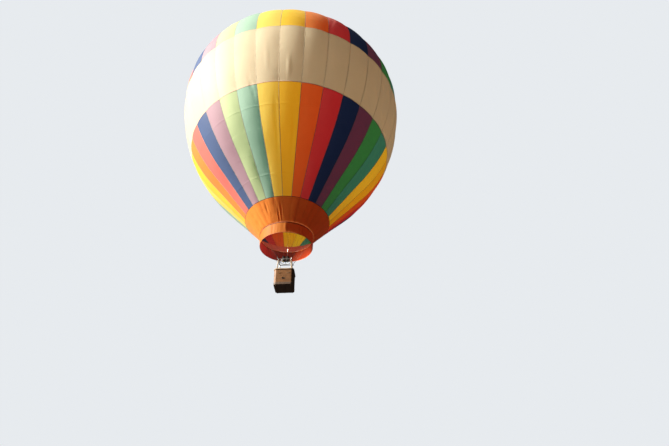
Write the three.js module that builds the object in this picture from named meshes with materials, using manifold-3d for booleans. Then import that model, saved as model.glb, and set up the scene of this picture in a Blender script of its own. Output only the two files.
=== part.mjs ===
// A hot air balloon: a striped fabric envelope with a vent at its crown, a throat and a short skirt,
// steel wires, a burner on a gimbal, and a wicker basket with its gas cylinders.
// Millimetres, +Z up. The origin is on the envelope's axis at its widest level.
// Azimuth 0 faces -Y and grows towards +X. The basket's long sides face -Y and +Y.
import * as THREE from "three";
import { mergeVertices } from "three/addons/utils/BufferGeometryUtils.js";
import Module from "manifold-3d";

const wasm = await Module();
wasm.setup();

// Envelope
const WIDEST_RADIUS = 8000;
const CROWN_HEIGHT = 6100; // from the widest level to the top
const SIDE_ARC = 11780; // radius of the side's curve, from the widest level down to the cone
const SIDE_TURN = THREE.MathUtils.degToRad(42); // the cone's slope from the vertical
const MOUTH_RADIUS = 1670;
const BAND_TOP = -800;
const BAND_BOTTOM = -5020;
const THROAT_TOP = -10420;
const FABRIC = 10; // thickness of the shell
const PUFF = 40; // how far a gore's middle stands out from its seams at the widest level
const GORES = 32;
const SEAM_GAP = 1; // between panels that are sewn to each other
const TOUCH = 0.3; // between hard pieces that rest on each other

// Vent and crown
const HOLE_RADIUS = 2100;
const VENT_RADIUS = 2400;
const VENT_DROP = 35; // from the envelope's outline to the vent's upper face
const CROWN_RING = { inner: 120, outer: 180, height: 20 };
const TAPE = { width: 40, thickness: 4, lift: 4, end: 2350 };

// Skirt
const SKIRT_LENGTH = 740;
const SKIRT_RADIUS = 1630;
const HOOP_THICKNESS = 24;

// Burner frame, gimbal and burner
const FRAME_LEVEL = -13350;
const FRAME = { x: 800, y: 760, bar: 40, corner: 60 };
const LUG = { reach: 95, height: 56, rise: 8, thickness: 12, hole: 13, out: 62 };
const LINK = { radius: 32, bar: 6, rise: 30 }; // the karabiner in each lug
const WIRE_RADIUS = 4;
const GIMBAL_RADIUS = 300;
const GIMBAL_BAR = 14;
const PIN_RADIUS = 10;
const BEARING = { length: 25, size: 50, hole: 12 };
const CAN = { radius: 105, wall: 6, height: 300, spacing: 240, base: 50 };
const MANIFOLD = { x: 330, y: 56, height: 40, jet: 42, jetHeight: 70 };

// Basket
const BASKET = { x: 1120, y: 1060, wall: 35, corner: 150 };
const RIM = { top: -14110, height: 70, outside: 35, inside: 15, round: 20 };
const BASE_LEVEL = -15210;
const FLOOR_THICKNESS = 20;
const RUNNER = { width: 60, height: 40, length: 970, spacing: 425 };
const STEP_HOLE = { width: 150, height: 110, level: -14775 };
const UPRIGHT = { radius: 22, foot: [450, 425, -14300], head: [365, 345] };
const CYLINDER = { radius: 130, height: 800, x: 380, y: 350 };

const COLOURS = {
  gold: 0xd0a020,
  orange: 0xd06a20,
  red: 0xa82028,
  navy: 0x1c2c5c,
  plum: 0x6a2848,
  green: 0x2c8034,
  teal: 0x157066,
  yellow: 0xe6c23c,
  cream: 0xece0bc,
  throat: 0xd46428,
};
const GORE_COLOURS = ["gold", "orange", "red", "navy", "plum", "green", "teal", "yellow"];

const fabric = (colour) => new THREE.MeshStandardMaterial({ color: colour, roughness: 0.7 });
const metal = (colour) => new THREE.MeshStandardMaterial({ color: colour, roughness: 0.4, metalness: 0.9 });
const plain = (colour) => new THREE.MeshStandardMaterial({ color: colour, roughness: 0.85 });
const tapeLook = fabric(0x2a2a2c);
const steelLook = metal(0xb8bcc0);
const wickerLook = plain(0xc08c54);
const leatherLook = plain(0x6e4a2c);
const woodLook = plain(0x8a6a44);
const cylinderLook = metal(0xa8acb0);

const balloon = new THREE.Group();

function place(name, geometry, material) {
  const mesh = new THREE.Mesh(geometry, material);
  mesh.name = name;
  balloon.add(mesh);
  return mesh;
}

// Solids for joining and cutting
function toSolid(geometry) {
  const bare = geometry.index ? geometry.toNonIndexed() : geometry.clone();
  bare.deleteAttribute("normal");
  bare.deleteAttribute("uv");
  const merged = mergeVertices(bare, 1e-3);
  return new wasm.Manifold(
    new wasm.Mesh({
      numProp: 3,
      vertProperties: merged.attributes.position.array,
      triVerts: new Uint32Array(merged.index.array),
    }),
  );
}

function toGeometry(solid) {
  const mesh = solid.getMesh();
  const geometry = new THREE.BufferGeometry();
  geometry.setAttribute("position", new THREE.BufferAttribute(mesh.vertProperties, 3));
  geometry.setIndex(new THREE.BufferAttribute(mesh.triVerts, 1));
  geometry.computeVertexNormals();
  return geometry;
}

const join = (geometries) => toGeometry(geometries.map(toSolid).reduce((all, one) => all.add(one)));
const cut = (geometry, tools) =>
  toGeometry(tools.map(toSolid).reduce((left, tool) => left.subtract(tool), toSolid(geometry)));

const block = (size, centre) => new THREE.BoxGeometry(...size).translate(...centre);

// A round bar between two points
function bar(from, to, radius, sides) {
  const start = new THREE.Vector3(...from);
  const line = new THREE.Vector3(...to).sub(start);
  const turn = new THREE.Quaternion().setFromUnitVectors(new THREE.Vector3(0, 1, 0), line.clone().normalize());
  const middle = start.addScaledVector(line, 0.5);
  return new THREE.CylinderGeometry(radius, radius, line.length(), sides).applyQuaternion(turn).translate(...middle);
}

// A rectangle with rounded corners, centred on the axis
function roundedRectangle(x, y, corner, Kind = THREE.Shape) {
  const [a, b] = [x / 2 - corner, y / 2 - corner];
  const outline = new Kind();
  outline.absarc(a, b, corner, 0, Math.PI / 2);
  outline.absarc(-a, b, corner, Math.PI / 2, Math.PI);
  outline.absarc(-a, -b, corner, Math.PI, 1.5 * Math.PI);
  outline.absarc(a, -b, corner, 1.5 * Math.PI, 2 * Math.PI);
  return outline;
}

// A frame of rounded rectangles, from the level bottom up; edge is its bevel
function rectangularRing({ x, y, corner, width, bottom, height, edge = 0, edgeSteps = 1, curveSegments = 3 }) {
  const shape = roundedRectangle(x - 2 * edge, y - 2 * edge, corner - edge);
  shape.holes.push(
    roundedRectangle(x - 2 * (width - edge), y - 2 * (width - edge), Math.max(corner - width + edge, edge + 5), THREE.Path),
  );
  const settings = { depth: height - 2 * edge, curveSegments, bevelEnabled: edge > 0 };
  Object.assign(settings, { bevelSize: edge, bevelThickness: edge, bevelSegments: edgeSteps });
  return new THREE.ExtrudeGeometry(shape, settings).translate(0, 0, bottom + edge);
}

// A closed skin between an outer and an inner grid of points. Rows run from top to bottom and columns
// towards +azimuth; point gives the place of a row and column on the outer side (0) or inner side (1).
// A ring joins its last column to its first.
function skin(rows, columns, ring, point) {
  const positions = [];
  const faces = [];
  for (const side of [0, 1])
    for (let row = 0; row < rows; row++)
      for (let column = 0; column < columns; column++) positions.push(...point(row, column, side));
  const at = (row, column, side) => (side * rows + row) * columns + (column % columns);
  const quad = (a, b, c, d) => faces.push(a, b, c, a, c, d);
  const spans = ring ? columns : columns - 1;
  for (let column = 0; column < spans; column++) {
    const next = column + 1;
    for (let row = 0; row + 1 < rows; row++) {
      quad(at(row, column, 0), at(row + 1, column, 0), at(row + 1, next, 0), at(row, next, 0));
      quad(at(row, column, 1), at(row, next, 1), at(row + 1, next, 1), at(row + 1, column, 1));
    }
    quad(at(0, column, 0), at(0, next, 0), at(0, next, 1), at(0, column, 1));
    const last = rows - 1;
    quad(at(last, column, 0), at(last, column, 1), at(last, next, 1), at(last, next, 0));
  }
  if (!ring)
    for (let row = 0; row + 1 < rows; row++) {
      const right = columns - 1;
      quad(at(row, 0, 0), at(row, 0, 1), at(row + 1, 0, 1), at(row + 1, 0, 0));
      quad(at(row, right, 0), at(row + 1, right, 0), at(row + 1, right, 1), at(row, right, 1));
    }
  const geometry = new THREE.BufferGeometry();
  geometry.setAttribute("position", new THREE.Float32BufferAttribute(positions, 3));
  geometry.setIndex(faces);
  geometry.computeVertexNormals();
  return geometry;
}

// The envelope's outline: a flattened dome, a side arc and a straight cone down to the mouth
const CONE_TOP = -SIDE_ARC * Math.sin(SIDE_TURN);
const CONE_TOP_RADIUS = WIDEST_RADIUS - SIDE_ARC * (1 - Math.cos(SIDE_TURN));
const MOUTH_LEVEL = CONE_TOP - (CONE_TOP_RADIUS - MOUTH_RADIUS) / Math.tan(SIDE_TURN);
const HALF_GORE = Math.PI / GORES;
const RING_STEPS = 2 * GORES;

const domeLevel = (radius) => CROWN_HEIGHT * Math.sqrt(1 - (radius / WIDEST_RADIUS) ** 2);

// Radius at a level, and how far the outward normal tilts up
function outline(z) {
  if (z >= 0) {
    const radius = WIDEST_RADIUS * Math.sqrt(1 - (z / CROWN_HEIGHT) ** 2);
    return { radius, tilt: Math.atan2(z / CROWN_HEIGHT ** 2, radius / WIDEST_RADIUS ** 2) };
  }
  if (z >= CONE_TOP) {
    const turn = Math.asin(-z / SIDE_ARC);
    return { radius: WIDEST_RADIUS - SIDE_ARC * (1 - Math.cos(turn)), tilt: -turn };
  }
  return { radius: CONE_TOP_RADIUS - (CONE_TOP - z) * Math.tan(SIDE_TURN), tilt: -SIDE_TURN };
}

const around = (radius, azimuth, z) => [radius * Math.sin(azimuth), -radius * Math.cos(azimuth), z];

// A point of the fabric, depth inside its outer face, at a number of half gores from azimuth 0.
// Even steps are seams and odd steps are the middles of gores.
function fabricPoint(z, step, depth, sideways = 0) {
  const { radius, tilt } = outline(z);
  const puff = ((step % 2 ? 1 : -1) * PUFF * radius) / (2 * WIDEST_RADIUS);
  const out = puff - depth;
  const r = radius + out * Math.cos(tilt);
  return around(r, step * HALF_GORE + sideways / r, z + out * Math.sin(tilt));
}

const levelsBetween = (top, bottom, rows) =>
  Array.from({ length: rows + 1 }, (_, i) => top + ((bottom - top) * i) / rows);

function fabricRing(levels) {
  return skin(levels.length, RING_STEPS, true, (row, column, side) => fabricPoint(levels[row], column, side * FABRIC));
}

function addEnvelope() {
  // Two close levels at the hole, where the vent lies under the edge, then even steps of the ellipse
  const edgeLevels = [HOLE_RADIUS, VENT_RADIUS + 120].map(domeLevel);
  const domeLevels = [58, 44, 30, 15, 0].map((angle) => CROWN_HEIGHT * Math.sin(THREE.MathUtils.degToRad(angle)));
  const crownLevels = [...edgeLevels, ...domeLevels, BAND_TOP + SEAM_GAP / 2];
  place("crown_panels", fabricRing(crownLevels), fabric(COLOURS.orange));

  const bandLevels = levelsBetween(BAND_TOP - SEAM_GAP / 2, BAND_BOTTOM + SEAM_GAP / 2, 4);
  place("cream_band", fabricRing(bandLevels), fabric(COLOURS.cream));

  const goreLevels = levelsBetween(BAND_BOTTOM - SEAM_GAP / 2, THROAT_TOP + SEAM_GAP / 2, 5);
  for (let gore = 0; gore < GORES; gore++) {
    const geometry = skin(goreLevels.length, 3, false, (row, column, side) =>
      fabricPoint(goreLevels[row], 2 * gore + column, side * FABRIC, ((1 - column) * SEAM_GAP) / 2),
    );
    const colour = COLOURS[GORE_COLOURS[gore % GORE_COLOURS.length]];
    place(`gore_${String(gore + 1).padStart(2, "0")}`, geometry, fabric(colour));
  }

  const throatLevels = [THROAT_TOP - SEAM_GAP / 2, MOUTH_LEVEL + SEAM_GAP / 2];
  place("throat", fabricRing(throatLevels), fabric(COLOURS.throat));
}

function addSkirt() {
  const rings = [
    { radius: MOUTH_RADIUS, z: MOUTH_LEVEL - 6 - SEAM_GAP },
    { radius: SKIRT_RADIUS, z: MOUTH_LEVEL - SKIRT_LENGTH },
  ];
  const skirt = skin(rings.length, RING_STEPS, true, (row, column, side) =>
    around(rings[row].radius - side * FABRIC, column * HALF_GORE, rings[row].z),
  );
  place("skirt", skirt, fabric(COLOURS.throat));
  const hoop = new THREE.TorusGeometry(SKIRT_RADIUS - FABRIC / 2, HOOP_THICKNESS / 2, 5, 40);
  hoop.translate(0, 0, MOUTH_LEVEL - SKIRT_LENGTH - HOOP_THICKNESS / 2 - SEAM_GAP);
  place("skirt_hoop", hoop, steelLook);
}

// The vent is a round panel under the crown's hole, and slides down to let hot air out
function addVent() {
  const radii = [60, 700, 1300, 1900, VENT_RADIUS];
  const upper = radii.map((radius) => [radius, domeLevel(radius) - VENT_DROP]);
  const lower = upper.map(([radius, z]) => [radius, z - FABRIC]).reverse();
  const profile = [[0, upper[0][1]], ...upper, ...lower, [0, lower[lower.length - 1][1]]];
  const points = profile.reverse().map(([radius, z]) => new THREE.Vector2(radius, z));
  const panel = new THREE.LatheGeometry(points, GORES).rotateX(Math.PI / 2);
  place("parachute_vent", panel, fabric(COLOURS.red));
}

// The crown ring and the load tapes that run from it over the hole to the seams
function addCrownTapes() {
  const { inner, outer, height } = CROWN_RING;
  const middle = domeLevel(outer) + TAPE.lift;
  const corners = [[inner, -1], [outer, -1], [outer, 1], [inner, 1], [inner, -1]];
  const section = corners.map(([radius, side]) => new THREE.Vector2(radius, middle + (side * height) / 2));
  const pieces = [new THREE.LatheGeometry(section, GORES).rotateX(Math.PI / 2)];
  const radii = [(inner + outer) / 2, HOLE_RADIUS / 2, HOLE_RADIUS, TAPE.end];
  for (let seam = 0; seam < GORES; seam++) {
    const strip = skin(radii.length, 2, false, (row, column, side) =>
      fabricPoint(
        domeLevel(radii[row]),
        2 * seam,
        -TAPE.lift - (1 - side) * TAPE.thickness,
        (column - 0.5) * TAPE.width,
      ),
    );
    pieces.push(strip);
  }
  place("crown_tapes", join(pieces), tapeLook);
}

// The four corners of the burner frame: the plan direction of each, and its name
const CORNERS = [
  { name: "front_right", x: 1, y: -1, firstSeam: 0 },
  { name: "back_right", x: 1, y: 1, firstSeam: 8 },
  { name: "back_left", x: -1, y: 1, firstSeam: 16 },
  { name: "front_left", x: -1, y: -1, firstSeam: 24 },
];
const SEAMS_PER_CORNER = GORES / 4;

const diagonal = ({ x, y }) => new THREE.Vector3(x, y, 0).normalize();
const frameCorner = ({ x, y }) => {
  const inset = FRAME.corner * (1 - Math.SQRT1_2);
  return new THREE.Vector3(x * (FRAME.x / 2 - inset), y * (FRAME.y / 2 - inset), FRAME_LEVEL);
};
const lugHole = (corner) => frameCorner(corner).addScaledVector(diagonal(corner), LUG.out);

// A corner's own axes: across the lug, up, and outwards
function cornerAxes(corner) {
  const out = diagonal(corner);
  const across = new THREE.Vector3(0, 0, 1).cross(out);
  return new THREE.Matrix4().makeBasis(across, new THREE.Vector3(0, 0, 1), out);
}

// Each corner's wires start where the seams end at the mouth and meet in one karabiner
function addFlyingWires() {
  for (const corner of CORNERS) {
    const hole = lugHole(corner);
    const link = new THREE.TorusGeometry(LINK.radius, LINK.bar, 6, 16);
    link.applyMatrix4(cornerAxes(corner)).translate(hole.x, hole.y, hole.z + LINK.rise);
    const knot = [hole.x, hole.y, hole.z + LINK.rise + LINK.radius + 8];
    const pieces = [link, block([30, 30, 26], knot)];
    for (let i = 0; i <= SEAMS_PER_CORNER; i++) {
      const radius = MOUTH_RADIUS - FABRIC - 25;
      // A seam between two corners has a wire to each, side by side
      const aside = ((i === 0) - (i === SEAMS_PER_CORNER)) * 12;
      const azimuth = (corner.firstSeam + i) * 2 * HALF_GORE + aside / radius;
      pieces.push(bar(knot, around(radius, azimuth, MOUTH_LEVEL - 12), WIRE_RADIUS, 5));
    }
    place(`flying_wires_${corner.name}`, join(pieces), steelLook);
  }
}

function addBurnerFrame() {
  const { x, y, bar: width, corner } = FRAME;
  const pieces = [rectangularRing({ x, y, corner, width, bottom: FRAME_LEVEL - width / 2, height: width, edge: 6 })];
  const holes = [];
  for (const at of CORNERS) {
    const axes = cornerAxes(at);
    const foot = frameCorner(at);
    const plate = new THREE.BoxGeometry(LUG.thickness, LUG.height, LUG.reach).translate(0, LUG.rise, LUG.reach / 2 - 10);
    pieces.push(plate.applyMatrix4(axes).translate(...foot));
    const hole = new THREE.CylinderGeometry(LUG.hole, LUG.hole, 60, 12).rotateZ(Math.PI / 2);
    holes.push(hole.applyMatrix4(axes).translate(...lugHole(at)));
  }
  for (const side of [-1, 1]) {
    const face = x / 2 - width;
    pieces.push(
      block([BEARING.length + 10, BEARING.size, BEARING.size], [side * (face - BEARING.length / 2 + 5), 0, FRAME_LEVEL]),
    );
    const middle = face - BEARING.length / 2;
    holes.push(
      bar([side * (middle - 40), 0, FRAME_LEVEL], [side * (middle + BEARING.length / 2), 0, FRAME_LEVEL], BEARING.hole, 16),
    );
  }
  place("burner_frame", cut(join(pieces), holes), steelLook);
}

// The gimbal ring turns in the frame about X, and carries the burner's shaft along Y
function addGimbal() {
  const ring = new THREE.TorusGeometry(GIMBAL_RADIUS, GIMBAL_BAR, 6, 24).translate(0, 0, FRAME_LEVEL);
  const pieces = [ring];
  const holes = [];
  const pinEnd = FRAME.x / 2 - FRAME.bar - 4;
  for (const side of [-1, 1]) {
    pieces.push(bar([side * GIMBAL_RADIUS, 0, FRAME_LEVEL], [side * pinEnd, 0, FRAME_LEVEL], PIN_RADIUS, 12));
    pieces.push(block([BEARING.size, 40, BEARING.size], [0, side * GIMBAL_RADIUS, FRAME_LEVEL]));
    holes.push(
      bar([0, side * (GIMBAL_RADIUS - 40), FRAME_LEVEL], [0, side * (GIMBAL_RADIUS + 40), FRAME_LEVEL], BEARING.hole, 16),
    );
  }
  place("gimbal_ring", cut(join(pieces), holes), steelLook);
}

function addBurner() {
  const barLevel = FRAME_LEVEL + CAN.base - MANIFOLD.height / 2;
  const shaftEnd = GIMBAL_RADIUS + 24;
  const pieces = [
    block([MANIFOLD.x, MANIFOLD.y, MANIFOLD.height], [0, 0, barLevel]),
    block([MANIFOLD.y, MANIFOLD.y, CAN.base + 20], [0, 0, FRAME_LEVEL + CAN.base / 2 - 10]),
    bar([0, -shaftEnd, FRAME_LEVEL], [0, shaftEnd, FRAME_LEVEL], PIN_RADIUS, 12),
  ];
  for (const [side, name] of [[-1, "left"], [1, "right"]]) {
    const x = (side * CAN.spacing) / 2;
    const bottom = FRAME_LEVEL + CAN.base;
    pieces.push(bar([x, 0, bottom - 5], [x, 0, bottom + MANIFOLD.jetHeight], MANIFOLD.jet, 16));
    const lip = CAN.wall + 4;
    const outside = [[0, 0], [0, CAN.height], [-lip, CAN.height], [-CAN.wall, CAN.height - 20], [-CAN.wall, 0], [0, 0]];
    const section = outside.map(([inwards, z]) => new THREE.Vector2(CAN.radius + inwards, z + TOUCH));
    const can = new THREE.LatheGeometry(section, 24).rotateX(Math.PI / 2).translate(x, 0, bottom);
    place(`burner_can_${name}`, can, steelLook);
  }
  place("burner_manifold", join(pieces), metal(0x6c6c70));
}

function addUprights() {
  const [footX, footY, footLevel] = UPRIGHT.foot;
  const [headX, headY] = UPRIGHT.head;
  const headLevel = FRAME_LEVEL - FRAME.bar / 2 - 3;
  for (const { name, x, y } of CORNERS) {
    const rod = bar([x * footX, y * footY, footLevel], [x * headX, y * headY, headLevel], UPRIGHT.radius, 12);
    place(`upright_${name}`, rod, leatherLook);
  }
}

function addBasket() {
  const floorTop = BASE_LEVEL + RUNNER.height + FLOOR_THICKNESS;
  const wallBottom = floorTop + TOUCH;
  const wallTop = RIM.top - RIM.height - TOUCH;
  const walls = rectangularRing({
    ...BASKET,
    width: BASKET.wall,
    bottom: wallBottom,
    height: wallTop - wallBottom,
  });
  const steps = [-1, 1].map((side) =>
    block([STEP_HOLE.width, 3 * BASKET.wall, STEP_HOLE.height], [0, (side * BASKET.y) / 2, STEP_HOLE.level]),
  );
  place("basket_walls", cut(walls, steps), wickerLook);

  const rim = rectangularRing({
    x: BASKET.x + 2 * RIM.outside,
    y: BASKET.y + 2 * RIM.outside,
    corner: BASKET.corner + RIM.outside,
    width: RIM.outside + BASKET.wall + RIM.inside,
    bottom: RIM.top - RIM.height,
    height: RIM.height,
    edge: RIM.round,
    edgeSteps: 2,
  });
  place("basket_rim", rim, leatherLook);

  const plate = new THREE.ExtrudeGeometry(roundedRectangle(BASKET.x, BASKET.y, BASKET.corner), {
    depth: FLOOR_THICKNESS,
    curveSegments: 4,
    bevelEnabled: false,
  }).translate(0, 0, BASE_LEVEL + RUNNER.height);
  const runners = [-1, 0, 1].map((i) =>
    block([RUNNER.width, RUNNER.length, RUNNER.height + 2], [i * RUNNER.spacing, 0, BASE_LEVEL + RUNNER.height / 2 + 1]),
  );
  place("basket_floor", join([plate, ...runners]), woodLook);
}

// A gas cylinder: foot ring, body, domed shoulder and collar around its valve
function addCylinders() {
  const { radius, height, x, y } = CYLINDER;
  const bottom = BASE_LEVEL + RUNNER.height + FLOOR_THICKNESS + TOUCH;
  const profile = [
    [0, 0],
    [radius - 20, 0],
    [radius - 20, 30],
    [radius, 60],
    [radius, height - 160],
    [radius - 25, height - 115],
    [radius - 60, height - 90],
    [radius - 60, height],
    [0, height],
  ];
  const points = profile.map(([r, z]) => new THREE.Vector2(r, z));
  for (const corner of CORNERS) {
    const tank = new THREE.LatheGeometry(points, 20).rotateX(Math.PI / 2);
    tank.translate(corner.x * x, corner.y * y, bottom);
    place(`gas_cylinder_${corner.name}`, tank, cylinderLook);
  }
}

addEnvelope();
addSkirt();
addVent();
addCrownTapes();
addFlyingWires();
addBurnerFrame();
addGimbal();
addBurner();
addUprights();
addBasket();
addCylinders();

export default balloon;
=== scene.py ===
"""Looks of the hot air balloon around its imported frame: sewn cloth, webbing, wires, burner and wicker basket.

Metres, +Z up. The origin is on the envelope's axis at its widest level. Azimuth 0 faces -Y and grows
towards +X.
"""

import math
import random

import bmesh
import bpy
import numpy as np
from mathutils import Matrix, Vector


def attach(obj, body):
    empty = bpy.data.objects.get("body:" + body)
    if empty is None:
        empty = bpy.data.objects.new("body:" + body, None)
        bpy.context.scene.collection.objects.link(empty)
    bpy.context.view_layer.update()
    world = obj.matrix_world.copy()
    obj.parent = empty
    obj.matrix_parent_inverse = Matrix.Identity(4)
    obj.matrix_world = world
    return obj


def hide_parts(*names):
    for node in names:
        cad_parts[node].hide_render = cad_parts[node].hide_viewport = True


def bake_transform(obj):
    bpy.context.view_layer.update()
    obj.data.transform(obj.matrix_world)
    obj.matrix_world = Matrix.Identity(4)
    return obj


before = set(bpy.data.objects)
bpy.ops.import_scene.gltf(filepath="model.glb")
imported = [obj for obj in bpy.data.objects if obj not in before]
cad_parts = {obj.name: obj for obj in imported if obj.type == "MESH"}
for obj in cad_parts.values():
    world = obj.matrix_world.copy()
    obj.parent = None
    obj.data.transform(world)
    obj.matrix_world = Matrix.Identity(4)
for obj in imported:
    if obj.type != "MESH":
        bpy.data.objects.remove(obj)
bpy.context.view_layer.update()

TURN = 2 * math.pi
BODY = "airframe"

# Envelope, the same figures as in the part's source
WIDEST = 8.0
CROWN_HEIGHT = 6.1
SIDE_ARC = 11.78
SIDE_TURN = math.radians(42)
MOUTH_RADIUS = 1.67
BAND_TOP = -0.8
BAND_BOTTOM = -5.02
THROAT_TOP = -10.42
PUFF = 0.04
GORES = 32
GORE_ANGLE = TURN / GORES
HOLE_RADIUS = 2.1
VENT_RADIUS = 2.4
VENT_DROP = 0.035
RING_RADIUS = 0.15
CONE_TOP = -SIDE_ARC * math.sin(SIDE_TURN)
CONE_TOP_RADIUS = WIDEST - SIDE_ARC * (1 - math.cos(SIDE_TURN))
MOUTH_LEVEL = CONE_TOP - (CONE_TOP_RADIUS - MOUTH_RADIUS) / math.tan(SIDE_TURN)

# Skirt
SKIRT_LENGTH = 0.74
SKIRT_RADIUS = 1.63
HOOP_LEVEL = MOUTH_LEVEL - SKIRT_LENGTH - 0.013

# Burner frame and basket
FRAME_LEVEL = -13.35
FRAME_HALF = (0.40, 0.38)
FRAME_BAR = 0.04
FRAME_CORNER = 0.06
UPRIGHT_HEAD = (0.365, 0.345)
UPRIGHT_FOOT = (0.45, 0.425, -14.30)
BASKET = (1.12, 1.06)
BASKET_CORNER = 0.15
BASKET_BOTTOM = -15.21
WALL = 0.035
# Name, sides in X and Y, and the first of its seams
CORNERS = [("front_right", 1, -1, 0), ("back_right", 1, 1, 8)]
CORNERS += [("back_left", -1, 1, 16), ("front_left", -1, -1, 24)]

GORE_COLOURS = ["gold", "orange", "red", "navy", "plum", "green", "teal", "yellow"]

# Colour that a fabric reflects in full light, paled by a painted sheen of sunlight, and colour that it lets
# through
DYES = {
    "gold": ((0.92, 0.75, 0.09), (0.95, 0.45, 0.010)),
    "orange": ((0.92, 0.40, 0.10), (0.78, 0.08, 0.01)),
    "red": ((0.88, 0.29, 0.25), (0.58, 0.012, 0.02)),
    "navy": ((0.13, 0.20, 0.42), (0.005, 0.009, 0.045)),
    "plum": ((0.66, 0.46, 0.56), (0.115, 0.012, 0.045)),
    "green": ((0.84, 0.92, 0.56), (0.01, 0.22, 0.03)),
    "teal": ((0.57, 0.81, 0.68), (0.03, 0.22, 0.14)),
    "yellow": ((0.94, 0.88, 0.24), (1.0, 0.58, 0.015)),
    "cream": ((0.92, 0.84, 0.63), (0.58, 0.445, 0.29)),
    "throat": ((0.97, 0.31, 0.045), (0.94, 0.050, 0.012)),
    "skirt": ((0.56, 0.20, 0.03), (0.62, 0.045, 0.010)),
    "binding": ((0.85, 0.30, 0.05), (1.0, 0.38, 0.15)),
}
# Share of the let-through colour that inner sides reflect: painted shade for the dim inside of the envelope
INNER_SHADE_SHARE = 0.22


def polar(angle, radius, z=0.0):
    """Places at azimuths, radii and levels."""
    angle, radius, z = np.broadcast_arrays(angle, radius, z)
    return np.stack([radius * np.sin(angle), -radius * np.cos(angle), z], -1)


def up(z):
    return np.array([0.0, 0.0, z])


UP = up(1.0)


def unit(vector):
    return vector / np.linalg.norm(vector)


def turns(count):
    """Angles evenly spaced round a circle."""
    return np.arange(count) * TURN / count


def outline(z):
    """Radius at each level, and how far the outward normal tilts up."""
    z = np.asarray(z, float)
    dome = np.sqrt(np.maximum(0, 1 - (z / CROWN_HEIGHT) ** 2)) * WIDEST
    dome_tilt = np.arctan2(z / CROWN_HEIGHT**2, np.maximum(dome, 1e-6) / WIDEST**2)
    turn = np.arcsin(np.clip(-z / SIDE_ARC, 0, math.sin(SIDE_TURN)))
    side = WIDEST - SIDE_ARC * (1 - np.cos(turn))
    cone = CONE_TOP_RADIUS - (CONE_TOP - z) * math.tan(SIDE_TURN)
    radius = np.where(z >= 0, dome, np.where(z >= CONE_TOP, side, cone))
    tilt = np.where(z >= 0, dome_tilt, np.where(z >= CONE_TOP, -turn, -SIDE_TURN))
    return radius, tilt


def dome_level(radius):
    return CROWN_HEIGHT * np.sqrt(1 - (radius / WIDEST) ** 2)


# Length along the outline from the crown down, at fine levels
FINE = np.concatenate(
    [
        CROWN_HEIGHT * np.sin(np.linspace(math.pi / 2, 0, 900)),
        -SIDE_ARC * np.sin(np.linspace(0, SIDE_TURN, 900))[1:],
        np.linspace(CONE_TOP, MOUTH_LEVEL, 400)[1:],
    ]
)
FINE_LENGTH = np.concatenate([[0], np.cumsum(np.hypot(np.diff(FINE), np.diff(outline(FINE)[0])))])


def length_at(z):
    return np.interp(-np.asarray(z, float), -FINE, FINE_LENGTH)


def level_at(length):
    return np.interp(length, FINE_LENGTH, FINE)


def levels(top, bottom, step, seams=()):
    """Levels from top to bottom, evenly spaced along the cloth, with close rows at each sewn seam."""
    start, end = length_at(top), length_at(bottom)
    lengths = list(np.linspace(start, end, max(2, round(float(end - start) / step) + 1)))
    for seam in [s for s in seams if start + 0.1 < s < end - 0.1]:
        lengths = [s for s in lengths if abs(s - seam) > 0.03]
        lengths += [seam - 0.016, seam - 0.011, seam + 0.011, seam + 0.016]
    return level_at(np.array(sorted(lengths)))


# Seams across the gores, as lengths from the crown
CROSS_SEAM_STEP = 1.37
CROSS_SEAMS = [float(length_at(THROAT_TOP)) - CROSS_SEAM_STEP * i for i in range(1, 15)]

# Waviness beside each seam, and slower waves down each gore: number of waves for each metre, phase, height
draw = random.Random(11).uniform
SEAM_WAVES = np.array([[(draw(6, 16), draw(0, 6.28), draw(0.3, 1)) for _ in range(4)] for _ in range(GORES)])
GORE_WAVES = np.array([[(draw(0.7, 2.2), draw(0, 6.28)) for _ in range(3)] for _ in range(GORES)])

# Folds that run down the cloth: place in gores from azimuth 0, its drift in gores, first and last
# length from the crown, half width in metres, height in metres
FOLDS = [
    (0.42, -0.02, 14.2, 16.4, 0.05, 0.035),
    (-0.2, 0.03, 16.9, 21.5, 0.07, -0.045),
    (0.72, 0.03, 17.4, 21.0, 0.07, -0.04),
    (-0.55, 0.05, 13.0, 15.8, 0.06, 0.025),
    (-0.28, 0.0, 23.3, 24.9, 0.05, -0.05),
    (-0.74, 0.0, 23.65, 24.95, 0.045, -0.05),
    (-2.3, -0.02, 23.2, 24.2, 0.05, -0.03),
    (-1.4, 0.3, 15.2, 17.6, 0.05, -0.03),
    (2.55, -0.6, 7.6, 12.0, 0.035, -0.035),
    (5.3, 0.3, 14.0, 17.0, 0.06, 0.03),
    (9.4, 0.2, 12.5, 15.5, 0.07, 0.03),
    (14.6, -0.3, 13.5, 16.6, 0.06, -0.03),
    (19.5, 0.25, 12.8, 15.9, 0.06, 0.03),
    (24.3, 0.2, 14.0, 17.2, 0.06, 0.03),
]


def bulge(across):
    """How full a panel stands between its seams."""
    return 0.5 - np.abs(2 * across - 1) ** 2.2


def away_from(gore, place, radius):
    """Distance round the cloth from a place, both given in gores."""
    return ((gore - place + GORES / 2) % GORES - GORES / 2) * GORE_ANGLE * radius


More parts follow.
